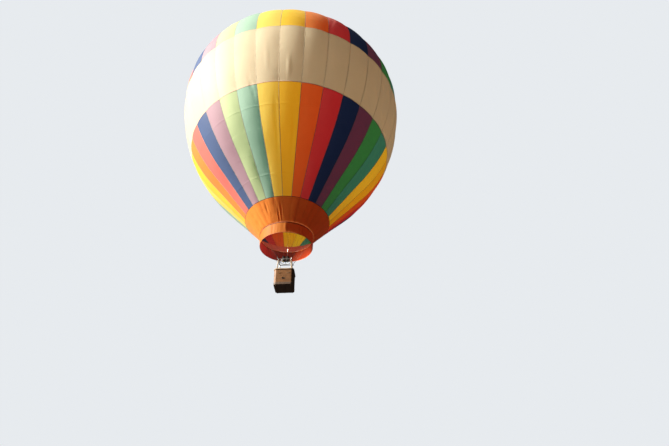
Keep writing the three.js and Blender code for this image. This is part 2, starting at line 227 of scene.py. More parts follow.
def relief(gore, length, radius):
    """Height of the cloth over its smooth outline, apart from the bulge."""
    column = np.floor(gore).astype(int) % GORES
    across = gore - np.floor(gore)
    seam = np.where(across < 0.5, column, (column + 1) % GORES)
    away = np.minimum(across, 1 - across) * GORE_ANGLE * radius
    rate, phase, weight = np.moveaxis(SEAM_WAVES[seam], -1, 0)
    pull = (weight * np.sin(rate * length[..., None] + phase)).sum(-1)
    height = 0.0035 * pull * np.exp(-away / 0.14) * (1 - np.exp(-away / 0.02))
    rate, phase = np.moveaxis(GORE_WAVES[column], -1, 0)
    height = height + 0.006 * np.sin(rate * length[..., None] + phase).sum(-1) * 4 * across * (1 - across)
    for place, drift, start, end, width, rise in FOLDS:
        share = np.clip((length - start) / (end - start), 0, 1)
        off = away_from(gore, place + drift * share, radius)
        height = height + rise * np.sin(math.pi * share) ** 1.5 * np.exp(-((off / width) ** 2))
    for seam_length in CROSS_SEAMS:
        height = height + 0.0012 * (np.abs(length - seam_length) < 0.0125)
    return height


def cloth_points(z, gore, lift=0.0, rough=True):
    """Places on the cloth at a level and a number of gores from azimuth 0."""
    z, gore = np.broadcast_arrays(np.asarray(z, float), np.asarray(gore, float))
    radius, tilt = outline(z)
    out = PUFF * radius / WIDEST * bulge(gore - np.floor(gore)) + lift
    if rough:
        out = out + relief(gore, length_at(z), radius)
    return polar(gore * GORE_ANGLE, radius + out * np.cos(tilt), z + out * np.sin(tilt))


def cloth_map(across, width, along):
    """Places on the flat cloth: across a panel of that width, along it, and away from the nearer seam."""
    return np.stack([across * width, along, np.minimum(across, 1 - across) * width], -1)


def new_mesh(name, points, faces, materials, body, index=None, cloth=None):
    """An object that rides on a body. It may have a material index for each face and places on flat cloth."""
    mesh = bpy.data.meshes.new(name)
    mesh.from_pydata(np.reshape(points, (-1, 3)).tolist(), [], faces)
    for material in materials:
        mesh.materials.append(material)
    if index is not None:
        mesh.polygons.foreach_set("material_index", np.asarray(index, np.int32))
    mesh.polygons.foreach_set("use_smooth", np.full(len(mesh.polygons), True))
    if cloth is not None:
        layer = mesh.attributes.new("cloth", "FLOAT_VECTOR", "POINT")
        layer.data.foreach_set("vector", np.asarray(cloth, np.float32).reshape(-1))
    mesh.update()
    obj = bpy.data.objects.new(name, mesh)
    bpy.context.scene.collection.objects.link(obj)
    if body:
        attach(obj, body)
    return obj


def dress(obj, slot, *nodes):
    """Hides the named nodes' own objects, which the object stands for. The slot is not used."""
    if nodes:
        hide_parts(*nodes)


def grid_faces(rows, columns, ring=False, closed=False, flip=False):
    """Quads between the points of a grid, facing out where columns run towards +azimuth and rows down.

    A ring joins its last column to its first. A closed grid joins its last row to its first.
    """
    spans = np.arange(rows if closed else rows - 1), np.arange(columns if ring else columns - 1)
    row, column = np.meshgrid(*spans, indexing="ij")
    here, below, after = row * columns, (row + 1) % rows * columns, (column + 1) % columns
    quads = np.stack([here + column, below + column, below + after, here + after], -1).reshape(-1, 4)
    return (quads[:, [0, 3, 2, 1]] if flip else quads).tolist()


class Shape:
    """Points and faces gathered from many small forms, made into one object. A tag is a material's index."""

    def __init__(self):
        self.points, self.faces, self.tags, self.count = [], [], [], 0

    def put(self, points, faces, tag=0):
        points = np.reshape(points, (-1, 3))
        self.points.append(points)
        self.faces += [[i + self.count for i in face] for face in faces]
        self.tags += [tag] * len(faces)
        self.count += len(points)

    def tube(self, path, radius, sides=8, closed=False, tag=0):
        """A round tube along a path. The radius may be one number or one for each point."""
        path = np.asarray(path, float)
        n = len(path)
        along = np.roll(path, -1, 0) - np.roll(path, 1, 0)
        if not closed:
            along[0], along[-1] = path[1] - path[0], path[-1] - path[-2]
        along /= np.linalg.norm(along, axis=1, keepdims=True)
        side = np.cross(along[0], [0, 0, 1] if abs(along[0][2]) < 0.9 else [1, 0, 0])
        sides_at = []
        for direction in along:
            side = unit(side - direction * side.dot(direction))
            sides_at.append(side)
        side = np.array(sides_at)
        c, s = np.cos(turns(sides))[:, None], np.sin(turns(sides))[:, None]
        ring = side[:, None] * c + np.cross(along, side)[:, None] * s
        points = path[:, None] + ring * np.broadcast_to(radius, n)[:, None, None]
        faces = grid_faces(n, sides, ring=True, closed=closed, flip=True)
        if not closed:
            faces += [list(range(sides))[::-1], list(range((n - 1) * sides, n * sides))]
        self.put(points, faces, tag)

    def rod(self, start, axis, places, radius, sides=16, tag=0):
        """A straight tube through places measured from a start along an axis."""
        self.tube([np.array(start) + np.array(axis) * place for place in places], radius, sides, tag=tag)

    def lathe(self, profile, sides, matrix, tag=0):
        """A turned form about its own Z, from radius and height pairs from top to bottom, outside first."""
        radius, height = np.array(profile, float).T[..., None]
        points, matrix = polar(turns(sides) + TURN / 4, radius, height), np.array(matrix)
        self.put(points @ matrix[:3, :3].T + matrix[:3, 3], grid_faces(len(profile), sides, True), tag)

    def slab(self, outer, inner, ring=False, tag=0):
        """A closed layer between an outer and an inner grid, rows down and columns towards +azimuth."""
        rows, columns = outer.shape[:2]
        n, last = rows * columns, (rows - 1) * columns
        faces = grid_faces(rows, columns, ring)
        faces += [[v + n for v in reversed(face)] for face in faces]
        for c in range(columns if ring else columns - 1):
            d = (c + 1) % columns
            faces += [[c, d, d + n, c + n], [last + c, last + c + n, last + d + n, last + d]]
        if not ring:
            for a in range(0, last, columns):
                b, e, f = a + columns, a + columns - 1, a + 2 * columns - 1
                faces += [[a, a + n, b + n, b], [e, f, f + n, e + n]]
        self.put(np.concatenate([outer.reshape(-1, 3), inner.reshape(-1, 3)]), faces, tag)

    def box(self, size, centre, edge, turn=None, tag=0):
        """A block with rounded edges."""
        form = bmesh.new()
        bmesh.ops.create_cube(form, size=1.0)
        for vertex in form.verts:
            vertex.co = Vector(a * b for a, b in zip(vertex.co, size))
        bmesh.ops.bevel(form, geom=form.edges[:], offset=edge, segments=2, profile=0.7, affect="EDGES")
        matrix = Matrix.Translation(Vector(centre)) @ (turn or Matrix())
        bmesh.ops.transform(form, matrix=matrix, verts=form.verts)
        self.take(form, tag)

    def take(self, form, tag=0):
        form.verts.index_update()
        self.put([v.co for v in form.verts], [[v.index for v in face.verts] for face in form.faces], tag)
        form.free()

    def torus(self, radius, thickness, centre, turn=None, segments=24, sides=8, tag=0):
        turn = (turn or Matrix()).to_3x3()
        circle = [Vector(centre) + turn @ Vector(polar(a + TURN / 4, radius)) for a in turns(segments)]
        self.tube(circle, thickness, sides, closed=True, tag=tag)

    def make(self, name, body, *materials):
        return new_mesh(name, np.concatenate(self.points), self.faces, materials, body, self.tags)


def towards(direction):
    """The turn that carries Z to a direction."""
    return Vector(direction).to_track_quat("Z", "Y").to_matrix().to_4x4()


def placed(centre, direction=None):
    """A shift to a centre, after a turn of Z to the direction if one is given."""
    return Matrix.Translation(Vector(centre)) @ (towards(direction) if direction is not None else Matrix())


def soft_edges(obj):
    """Smooth shading apart from sharp edges."""
    obj.data.set_sharp_from_angle(angle=math.radians(35))
    return obj


class Loop:
    """A rounded rectangle, followed by the distance from the middle of its -Y side towards +X.

    It has nine pieces: half a side, then a corner and a side by turns, and half a side again.
    """

    def __init__(self, x, y, corner):
        a, b = self.half = (x / 2 - corner, y / 2 - corner)
        self.corner = corner
        quarter = TURN / 4 * corner
        self.ends = np.cumsum([0, a, quarter, 2 * b, quarter, 2 * a, quarter, 2 * b, quarter, a])
        self.length = self.ends[-1]

    def at(self, distance, out=0.0, z=0.0):
        """Places at distances round it, moved out of the loop by out."""
        distance, out, z = np.broadcast_arrays(np.asarray(distance, float), out, z)
        d = distance % self.length
        piece = np.clip(np.searchsorted(self.ends, d, side="right") - 1, 0, 8)
        along = d - self.ends[piece]
        angle = TURN / 4 * (piece // 2 - 1) + piece % 2 * along / self.corner
        x = self.half[0] * np.take([0, 1, 1, 1, 1, -1, -1, -1, -1], piece)
        x = x + along * np.take([1, 0, 0, 0, -1, 0, 0, 0, 1], piece)
        y = self.half[1] * np.take([-1, -1, -1, 1, 1, 1, 1, -1, -1], piece)
        y = y + along * np.take([0, 0, 1, 0, 0, 0, -1, 0, 0], piece)
        reach = self.corner + out
        return np.stack([x + reach * np.cos(angle), y + reach * np.sin(angle), z], -1)

    def evenly(self, spacing, per_corner):
        """Distances round it, about evenly spaced on its sides and closer on its corners."""
        places = []
        for i in range(9):
            steps = per_corner if i % 2 else max(1, round((self.ends[i + 1] - self.ends[i]) / spacing))
            places += list(np.linspace(self.ends[i], self.ends[i + 1], steps + 1)[:-1])
        return np.array(places)


class Look:
    """The shader nodes of a material or a world. An input that is a socket is linked, any other is set."""

    def __init__(self, owner):
        owner.use_nodes = True
        self.owner, self.tree = owner, owner.node_tree
        self.tree.nodes.clear()

    def add(self, kind, inputs, **settings):
        node = self.tree.nodes.new("ShaderNode" + kind)
        for key, value in settings.items():
            setattr(node, key, value)
        for key, value in inputs.items():
            if isinstance(value, bpy.types.NodeSocket):
                self.tree.links.new(value, node.inputs[key])
            else:
                node.inputs[key].default_value = value
        return node.outputs

    def cloth(self):
        """The place on the flat cloth, whole and as separate figures."""
        cloth = self.add("Attribute", {}, attribute_name="cloth")["Vector"]
        return cloth, self.add("SeparateXYZ", {0: cloth})

    def stretch(self, vector, scale):
        return self.add("Mapping", {"Vector": vector, "Scale": scale})[0]

    def noise(self, scale, detail=2.0, roughness=0.5, distortion=0.0, vector=None):
        inputs = {"Scale": scale, "Detail": detail, "Roughness": roughness, "Distortion": distortion}
        return self.add("TexNoise", {"Vector": vector or self.place, **inputs})["Fac"]

    def spread(self, value, low, high, start, end):
        """The value's range from low to high, spread from start to end."""
        return self.add("MapRange", {0: value, 1: low, 2: high, 3: start, 4: end})[0]

    def maths(self, operation, *values):
        return self.add("Math", dict(enumerate(values)), operation=operation)[0]

    def bump(self, strength, distance, height):
        return self.add("Bump", {"Strength": strength, "Distance": distance, "Height": height})[0]

    def mix(self, factor, one, other, blend="MIX"):
        """One colour or the other. A tuple is taken as a colour."""
        one, other = ((*c, 1.0) if isinstance(c, tuple) else c for c in (one, other))
        return self.add("Mix", {0: factor, 6: one, 7: other}, data_type="RGBA", blend_type=blend)[2]

    def shaded(self, colour, factor, dark):
        """The colour, darkened towards dark times itself where factor is 1."""
        dark = dark if isinstance(dark, tuple) else (dark,) * 3
        return self.mix(factor, colour, tuple(c * d for c, d in zip(colour, dark)))

    def skin(self, colour, roughness, normal, **more):
        names = {"metallic": "Metallic", "sheen": "Sheen Weight", "shine": "Specular IOR Level"}
        inputs = {"Base Color": colour, "Roughness": roughness, "Normal": normal}
        return self.add("BsdfPrincipled", {**inputs, **{names[key]: value for key, value in more.items()}})

    def done(self, surface):
        self.add("OutputMaterial", {"Surface": surface[0]})
        return self.owner

    def plain(self, colour, factor, dark, roughness, normal, **more):
        """A material whose colour is shaded by a factor."""
        return self.done(self.skin(self.shaded(colour, factor, dark), roughness, normal, **more))


def new_look(name):
    look = Look(bpy.data.materials.new(name))
    look.place = look.add("TexCoord", {})["Object"]
    return look


def nylon(name, dye, through=0.42, roughness=0.55, shine=0.12, sheen=0.08, lining=None):
    """Coated ripstop cloth: sun-faded and slightly uneven, puckered along its seams, and lit from behind.

    A lining gives the inner side two colours, reflected and let through. Without one, the inner side reflects a
    darkened copy of the let-through colour, as painted shade.
    """
    # The reflected colour holds a painted sheen of sunlight
    face, glow = DYES[dye]
    look = new_look(name)
    cloth, parts = look.cloth()
    blotch = look.spread(look.noise(0.55, 3.0, 0.6), 0.35, 0.7, 0.0, 0.12)
    crumple = look.noise(1.0, 4.0, 0.55, vector=look.stretch(cloth, (2.2, 9.0, 1.0)))
    pucker = look.maths("MULTIPLY", crumple, look.spread(parts[2], 0.0, 0.22, 1.0, 0.12))
    lines = [look.maths("PINGPONG", parts[axis], 0.004) for axis in (0, 1)]
    grid = look.maths("MAXIMUM", *[look.maths("LESS_THAN", line, 0.0006) for line in lines])
    bump = look.bump(0.5, 0.02, look.maths("MULTIPLY_ADD", grid, 0.01, pucker))
    inside = look.add("NewGeometry", {})["Backfacing"]
    # Inner side: a darkened copy of the let-through colour, painted shade
    inner, inner_glow = lining or (tuple(INNER_SHADE_SHARE * c for c in glow), glow)
    colour = look.mix(inside, look.shaded(face, blotch, 0.55), inner)
    surface = look.skin(colour, roughness, bump, shine=shine, sheen=sheen)
    surface[0].node.inputs["Sheen Roughness"].default_value = 0.4
    behind_colour = look.shaded(glow, blotch, 0.7)
    if lining:
        behind_colour = look.mix(inside, behind_colour, inner_glow)
    behind = look.add("BsdfTranslucent", {"Color": behind_colour, "Normal": bump})
    return look.done(look.add("MixShader", {0: through, 1: surface[0], 2: behind[0]}))


def webbing(name, colour, roughness=0.75, pitch=600.0):
    """Woven tape: fine ribs across it and a little grime."""
    look = new_look(name)
    grime = look.spread(look.noise(6.0, 4.0), 0.4, 0.75, 0.0, 0.6)
    bump = look.bump(0.4, 0.001, look.noise(pitch, 1.0))
    return look.plain(colour, grime, 0.6, roughness, bump, sheen=0.2)


def metal(name, colour, roughness=0.35, grain=(1.0, 1.0, 30.0), metallic=1.0):
    """Brushed or cast metal with smudges and a fine grain."""
    look = new_look(name)
    smudge = look.noise(9.0, 5.0)
    rough = look.spread(smudge, 0.3, 0.75, roughness, min(1.0, roughness + 0.25))
    bump = look.bump(0.15, 0.001, look.noise(60.0, 3.0, vector=look.stretch(look.place, grain)))
    return look.plain(colour, smudge, 0.72, rough, bump, metallic=metallic)


def hide(name, colour, roughness, grain, wear):
    """Leather: pebbled grain, creases, and a paler or darker worn tone in patches."""
    look = new_look(name)
    pebbles = look.add("TexVoronoi", {"Vector": look.place, "Scale": grain})["Distance"]
    patches = look.noise(7.0, 6.0, 0.65)
    creases = look.noise(38.0, 4.0, distortion=1.2)
    bump = look.bump(0.45, 0.0015, look.maths("MULTIPLY_ADD", creases, 1.4, pebbles))
    worn = look.spread(patches, 0.42, 0.72, 0.0, 1.0)
    rough = look.spread(patches, 0.3, 0.8, roughness, min(1.0, roughness + 0.3))
    return look.plain(colour, worn, wear, rough, bump, sheen=0.15)


def cane(name, colour):
    """Woven cane: each row its own tone, fibres along the row, painted shade in the hollows between rows."""
    look = new_look(name)
    cloth, parts = look.cloth()
    tone = look.noise(1.0, 1.0, vector=look.stretch(cloth, (1.1, 76.0, 0.0)))
    fibre = look.noise(1.0, 3.0, vector=look.stretch(cloth, (30.0, 1400.0, 0.0)))
    grime = look.noise(3.0, 4.0)
    base = look.shaded(colour, look.spread(tone, 0.32, 0.68, 0.0, 1.0), (1.75, 1.65, 1.5))
    # Painted shade: darker at each row's low edge, in the hollows, multiplied with random grime
    low = look.spread(parts[2], 0.15, 0.85, 0.28, 1.0)
    both = look.maths("MULTIPLY", low, look.spread(grime, 0.4, 0.75, 1.0, 0.72))
    hollow_shade_and_grime = look.add("CombineXYZ", {0: both, 1: both, 2: both})[0]
    colour_out = look.mix(1.0, base, hollow_shade_and_grime, "MULTIPLY")
    return look.done(look.skin(colour_out, 0.5, look.bump(0.3, 0.001, fibre), shine=0.4))


def timber(name, colour):
    """Varnished plywood and hardwood runners, scuffed."""
    look = new_look(name)
    grain = look.noise(3.0, 6.0, distortion=0.8, vector=look.stretch(look.place, (14.0, 1.2, 14.0)))
    rough = look.spread(look.noise(12.0, 6.0), 0.3, 0.7, 0.45, 0.8)
    return look.plain(colour, grain, 0.45, rough, look.bump(0.3, 0.001, grain))


def quilt(name, colour):
    """Padded jacket cloth with a diamond quilting."""
    look = new_look(name)
    parts = look.add("SeparateXYZ", {0: look.place})
    around = look.maths("ADD", parts[0], parts[1])
    rows = [look.maths("PINGPONG", look.maths(way, around, parts[2]), 0.03) for way in ("ADD", "SUBTRACT")]
    bump = look.bump(0.6, 0.3, look.maths("MINIMUM", *rows))
    return look.plain(colour, look.noise(14.0, 4.0), 0.7, 0.8, bump, sheen=0.3)


def grip_rubber(name, colour):
    """Moulded grip, finely ribbed."""
    look = new_look(name)
    inputs = {"Vector": look.place, "Scale": 90.0, "Distortion": 0.3}
    bump = look.bump(0.5, 0.001, look.add("TexWave", inputs, bands_direction="Y")["Fac"])
    return look.plain(colour, look.noise(60.0), 0.7, 0.6, bump)


palette = [nylon(f"nylon_{name}", name) for name in GORE_COLOURS]
CREAM = nylon("nylon_cream", "cream", through=0.4)
THROAT = nylon("aramid_orange", "throat", 0.16, 0.6, 0.2, 0.1)
# The skirt's inner side: darker copies of its colours, painted shade inside the skirt
skirt_shaded_lining = ((0.22, 0.030, 0.012), (0.24, 0.012, 0.012))
SKIRT = nylon("aramid_skirt", "skirt", 0.36, 0.6, 0.2, 0.05, skirt_shaded_lining)
binding_lining = ((0.7, 0.45, 0.40), (1.0, 0.62, 0.52))
BINDING = nylon("aramid_binding", "binding", 0.6, 0.6, 0.2, lining=binding_lining)
SLEEVE = webbing("aramid_sleeve", (0.55, 0.13, 0.05), pitch=900.0)
TAPE = webbing("webbing_grey", (0.30, 0.27, 0.23))
LIGHT_TAPE = webbing("webbing_light", (0.85, 0.66, 0.58))
CREAM_TAPE = webbing("webbing_cream", (0.74, 0.62, 0.45))
PINK_TAPE = webbing("webbing_pink", (0.78, 0.48, 0.38))
# Dark red tape: painted shadow, under the mouth's edge and along the foot of the gores
SHADOW_TAPE = webbing("webbing_painted_shadow", (0.14, 0.035, 0.02))
ROPE = webbing("rope", (0.26, 0.17, 0.09), pitch=900.0)
LACE = webbing("lace", (0.16, 0.10, 0.06), roughness=0.6)
WIRE = metal("wire_rope", (0.055, 0.05, 0.05), 0.6, metallic=0.3)
STEEL = metal("stainless_steel", (0.62, 0.62, 0.62), 0.28)
FRAME = metal("frame_steel", (0.36, 0.36, 0.37))
COIL = metal("coil_steel", (0.05, 0.045, 0.04), 0.5, metallic=0.6)
DARK_STEEL = metal("dark_steel", (0.10, 0.10, 0.105), 0.4)
BURNER = metal("burner_alloy", (0.035, 0.035, 0.038), 0.5, metallic=0.4)
CAN = metal("heated_steel", (0.022, 0.02, 0.018), 0.6, metallic=0.4)
BRASS = metal("brass", (0.62, 0.44, 0.16), 0.3)
CYLINDER = metal("cylinder_steel", (0.60, 0.61, 0.62), 0.3, (1.0, 1.0, 0.05))
GRIP = grip_rubber("grip_red", (0.45, 0.03, 0.02))
ROD = grip_rubber("rod_nylon", (0.05, 0.05, 0.055))
SUEDE = hide("suede", (0.52, 0.40, 0.27), 0.85, 420.0, 0.72)
RIM = hide("rim_leather", (0.50, 0.36, 0.24), 0.6, 260.0, 0.6)
LEATHER = hide("dark_leather", (0.075, 0.04, 0.022), 0.55, 200.0, 1.8)
WICKER = cane("cane", (0.245, 0.112, 0.043))
WOOD = timber("plywood", (0.34, 0.16, 0.07))
JACKET = quilt("jacket_cloth", (0.045, 0.05, 0.06))


# Places across one gore, closer at its seams
ACROSS = np.array([0, 0.012, 0.03, 0.06, 0.11, 0.18, 0.26, 0.34, 0.42, 0.5])
ACROSS = np.concatenate([ACROSS, 1 - ACROSS[-2::-1]])


def gore_columns(first, last):
    """Places in gores from one seam to another."""
    return np.concatenate([*[gore + ACROSS[:-1] for gore in range(first, last)], [last]])


def cloth_sheet(name, first, last, top, bottom, materials, node, slot, step=0.1, seams=(), hem=0.0):
    """A sewn sheet between two seams and two levels.

    A hem is the width of its lowest strip that takes the second material. Otherwise each gore takes its own.
    """
    rows, columns = levels(top, bottom, step, seams), gore_columns(first, last)
    start, end = float(length_at(top)), float(length_at(bottom))
    if hem:
        rows = np.insert(rows, -1, level_at(end - hem))
    z, gore = np.meshgrid(rows, columns, indexing="ij")
    cloth = cloth_map(gore - np.floor(gore), GORE_ANGLE * outline(z)[0], length_at(z))
    faces = grid_faces(len(rows), len(columns))
    row, column = np.divmod(np.arange(len(faces)), len(columns) - 1)
    index = row == len(rows) - 2 if hem else (first + column // (len(ACROSS) - 1)) % len(materials)
    obj = new_mesh(name, cloth_points(z, gore), faces, materials, BODY, index, cloth)
    dress(obj, slot, node)


# Envelope
for half, first, last in [("front", -8, 8), ("back", 8, 24)]:
    cloth_sheet(
        f"crown_fabric_{half}", first, last, dome_level(HOLE_RADIUS), BAND_TOP, palette, "crown_panels",
        "crown_fabric", seams=CROSS_SEAMS,
    )
    cloth_sheet(
        f"cream_fabric_{half}", first, last, BAND_TOP, BAND_BOTTOM, [CREAM], "cream_band",
        "cream_fabric",
    )
lower_seams = [s for s in CROSS_SEAMS if s > length_at(BAND_BOTTOM) + 0.1]
for gore in range(GORES):
    which, node = gore % len(GORE_COLOURS), f"gore_{gore + 1:02d}"
    cloth_sheet(
        f"{node}_fabric", gore, gore + 1, BAND_BOTTOM, THROAT_TOP, [palette[which]], node,
        f"gore_{GORE_COLOURS[which]}", seams=lower_seams,
    )
cloth_sheet(
    "throat_fabric_sheet", 0, GORES, THROAT_TOP, MOUTH_LEVEL, [THROAT, BINDING], "throat",
    "throat_fabric", step=0.06, hem=0.045,
)

# Skirt: sixteen panels hung from the mouth, gathered on a steel hoop
SKIRT_TOP = MOUTH_LEVEL - 0.007
SKIRT_BOTTOM = MOUTH_LEVEL - SKIRT_LENGTH
SKIRT_PANEL = 0.66
SKIRT_CREASE = 0.42
SKIRT_FOLDS = [  # place in gores, half width in metres, height in metres
    (0.32, 0.05, 0.012),
    (-2.2, 0.05, -0.012),
    (3.3, 0.045, -0.016),
    (6.8, 0.06, 0.014),
    (11.2, 0.05, -0.016),
    (15.7, 0.06, 0.016),
    (20.4, 0.05, -0.014),
    (26.1, 0.05, -0.016),
]


def skirt_points(gore, depth, lift=0.0):
    """Places on the skirt at a share of its length below the mouth."""
    radius = MOUTH_RADIUS + (SKIRT_RADIUS - MOUTH_RADIUS) * depth
    out = 0.016 * bulge(gore / 2 - np.floor(gore / 2)) * (0.4 + 0.6 * np.sin(math.pi * depth)) + lift
    out = out + 0.004 * np.sin(gore * GORE_ANGLE * 53 + 2.1 * depth) * depth
    for place, width, height in SKIRT_FOLDS:
        off = away_from(gore, place, radius)
        out = out + height * np.sin(math.pi * (0.08 + 0.84 * depth)) * np.exp(-((off / width) ** 2))
    # Right of a crease that faces the camera the cloth falls back towards the axis, over 0.6 m, then 1.2 m
    beyond = away_from(gore, SKIRT_CREASE, radius)
    falling = 1 - (1 - np.clip(beyond / 0.6, 0, 1)) ** 2
    rising = 0.5 + 0.5 * np.cos(math.pi * np.clip((beyond - 0.6) / 1.2, 0, 1))
    out = out - 0.105 * np.where(beyond < 0.6, falling, rising) * np.sin(math.pi * depth) ** 0.6
    return polar(gore * GORE_ANGLE, radius + out, SKIRT_TOP + (SKIRT_BOTTOM - SKIRT_TOP) * depth)


depth, gore = np.meshgrid(np.linspace(0, 1, 13), np.arange(0, GORES + 0.01, 0.125), indexing="ij")
cloth = cloth_map(gore / 2 - np.floor(gore / 2), SKIRT_PANEL, depth * SKIRT_LENGTH)
faces = grid_faces(*gore.shape)
skirt = new_mesh("skirt_fabric_sheet", skirt_points(gore, depth), faces, [SKIRT], BODY, cloth=cloth)
dress(skirt, "skirt_fabric", "skirt")

# The hoop in its gathered sleeve
angles = turns(256)
shape = Shape()
hoop = polar(angles, SKIRT_RADIUS - 0.005, HOOP_LEVEL)
shape.tube(hoop, 0.0125 + 0.0012 * np.sin(angles * 96), closed=True)
dress(shape.make("skirt_hoop_sleeve", BODY, SLEEVE), "skirt_fabric", "skirt_hoop")

# The rope bound into the mouth's edge, and the tape that the skirt hangs from: its dark red is painted shadow
angles = turns(192)
shape = Shape()
radius = MOUTH_RADIUS + 0.005 + 0.003 * np.cos(angles * GORES)
shape.tube(polar(angles, radius, MOUTH_LEVEL - 0.001), 0.011, closed=True)
dress(shape.make("mouth_rope", BODY, BINDING), "throat_fabric")
depth, gore = np.meshgrid(np.array([0.012, 0.055]) / SKIRT_LENGTH, np.arange(0, GORES, 0.25), indexing="ij")
shape = Shape()
shape.slab(skirt_points(gore, depth, 0.004), skirt_points(gore, depth, 0.0015), ring=True)
dress(shape.make("skirt_top_tape", BODY, SHADOW_TAPE), "load_tape")

# Load tapes over every seam from the crown ring to the mouth
TAPE_HALF = 0.013
TAPE_THICKNESS = 0.0022
near_crown = [dome_level(r) for r in (RING_RADIUS, 0.5, 1.0, 1.5, 2.0, 2.1)]
tape_levels = np.concatenate([near_crown, levels(dome_level(2.15), MOUTH_LEVEL + 0.002, 0.15)])
breaks = [np.searchsorted(-tape_levels, -level) for level in (BAND_TOP, BAND_BOTTOM, THROAT_TOP)]
shape = Shape()
for seam in range(GORES):
    z, side = np.meshgrid(tape_levels, [-1.0, 0.0, 1.0], indexing="ij")
    gore = seam + side * TAPE_HALF / (GORE_ANGLE * outline(z)[0])
    over_hole = z > dome_level(HOLE_RADIUS) + 1e-6
    lift = np.where(over_hole, 0.006, 0.0048 - 0.001 * np.abs(side))
    outer = cloth_points(z, gore, lift, rough=False)
    inner = cloth_points(z, gore, lift - TAPE_THICKNESS, rough=False)
    for tag, start, end in zip((0, 1, 0, 2), [0, *breaks], [*breaks, len(z)]):
        shape.slab(outer[start : end + 1], inner[start : end + 1], tag=tag)
    # The tape's end is folded round the crown ring and sewn back on itself
    centre = cloth_points(dome_level(RING_RADIUS), seam, 0.003, rough=False)
    outwards, sideways = polar(seam * GORE_ANGLE, 1.0), polar((seam + GORES / 4) * GORE_ANGLE, 1.0)
    bends = np.linspace(0.3, TURN - 0.3, 10)
    sides = sideways * np.array([[0.012], [-0.012]])
    outer, inner = (
        np.array([centre + outwards * (0.001 + r * math.cos(b)) + up(r * math.sin(b)) + sides for b in bends])
        for r in (0.0165, 0.0145)
    )
    shape.slab(outer, inner)
tapes = shape.make("crown_webbing", BODY, TAPE, CREAM_TAPE, THROAT)
dress(tapes, "load_tape", "crown_tapes")

shape = Shape()
shape.tube(polar(turns(96) + TURN / 4, RING_RADIUS, dome_level(RING_RADIUS) - 0.036), 0.0125, 16, closed=True)
dress(shape.make("crown_ring", BODY, STEEL), "steel")

# Tapes sewn over the joins between the bands of cloth
for name, level, half, material in [
    ("band_top_tape", BAND_TOP, 0.016, CREAM_TAPE),
    ("band_hem_tape", BAND_BOTTOM, 0.022, PINK_TAPE),
    # The throat's hem tape is dark: painted shadow at the foot of the gores
    ("throat_hem_tape", THROAT_TOP, 0.014, SHADOW_TAPE),
]:
    rows = level_at(length_at(level) + np.array([-half, 0, half]))
    z, gore = np.meshgrid(rows, gore_columns(0, GORES)[:-1], indexing="ij")
    shape = Shape()
    shape.slab(cloth_points(z, gore, 0.0032), cloth_points(z, gore, 0.0012), ring=True)
    dress(shape.make(name, BODY, material), "load_tape")

# Vent: a round panel in the gores' colours
VENT_RINGS = [0.0, 0.12, 0.3, 0.5, 0.7, 0.9, 1.1, 1.3, 1.5, 1.7, 1.9, 2.05, 2.2, 2.3, VENT_RADIUS - 0.01]
radius, gore = np.meshgrid(VENT_RINGS, np.arange(0, GORES, 0.25), indexing="ij")
across = gore - np.floor(gore)
# It fills between the tapes above it, and its edge is drawn in a little between its lines
swell = 0.014 * np.sin(math.pi * across) * np.clip(radius / 1.2, 0, 1) * (radius < 2.06)
swell = (swell + 0.006 * np.sin(3.1 * radius + gore)) * (radius > 0)
edge = radius - 0.02 * np.sin(math.pi * across) * (radius / VENT_RADIUS) ** 8
points = polar(gore * GORE_ANGLE, edge, dome_level(radius) - VENT_DROP - 0.004 + swell)
faces = grid_faces(*gore.shape, ring=True)
index = np.arange(len(faces)) % gore.shape[1] // 4 % len(GORE_COLOURS)
cloth = cloth_map(across, GORE_ANGLE * radius, radius)
vent = new_mesh("vent_fabric_sheet", points, faces, palette, "vent", index, cloth)
dress(vent, "vent_fabric", "parachute_vent")

# Its shroud lines, which meet in a small ring, and the cord in its edge
SHROUD_LEVEL = float(dome_level(VENT_RADIUS)) - 2.1
shape = Shape()
for angle in turns(GORES // 2):
    top = polar(angle, 2.36, dome_level(2.36) - VENT_DROP - 0.012)
    shape.tube(np.linspace(top, polar(angle, 0.03, SHROUD_LEVEL), 5), 0.0025, 5)
shape.torus(0.03, 0.005, (0, 0, SHROUD_LEVEL), segments=20, tag=1)
angles = turns(64)
cord = polar(angles, 2.38 - 0.018 * np.abs(np.sin(angles * 16)), dome_level(2.38) - VENT_DROP - 0.005)
shape.tube(cord, 0.006, 6, closed=True)
dress(shape.make("vent_shroud_lines", "vent", TAPE, STEEL), "load_tape")

# The line that opens the vent runs down through the mouth to the burner frame
LINE_FOOT = (0.13, -0.33, FRAME_LEVEL + 0.03)
shape = Shape()
shape.tube(np.linspace((0, 0, SHROUD_LEVEL), LINE_FOOT, 60), 0.005, 6)
line = shape.make("vent_line", None, LIGHT_TAPE)
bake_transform(line)

# Wires from the mouth to the burner frame's corners
LUG_OUT = 0.062
THIMBLE_RING = MOUTH_RADIUS - 0.035
KARABINER_RISE = 0.03


def corner_axes(x, y):
    """The middle of a lug's hole, the lug's outward direction and the direction across it."""
    inset = FRAME_CORNER * (1 - math.sqrt(0.5))
    out = np.array([x, y, 0]) / math.sqrt(2)
    foot = np.array([x * (FRAME_HALF[0] - inset), y * (FRAME_HALF[1] - inset), FRAME_LEVEL])
    return foot + out * LUG_OUT, out, np.cross([0, 0, 1], out)


def upright_axis(x, y, head_drop):
    """Foot and head of an upright, and the direction and length from one to the other."""
    foot = np.array([x * UPRIGHT_FOOT[0], y * UPRIGHT_FOOT[1], UPRIGHT_FOOT[2]])
    head = np.array([x * UPRIGHT_HEAD[0], y * UPRIGHT_HEAD[1], FRAME_LEVEL - head_drop])
    return foot, head, unit(head - foot), float(np.linalg.norm(head - foot))


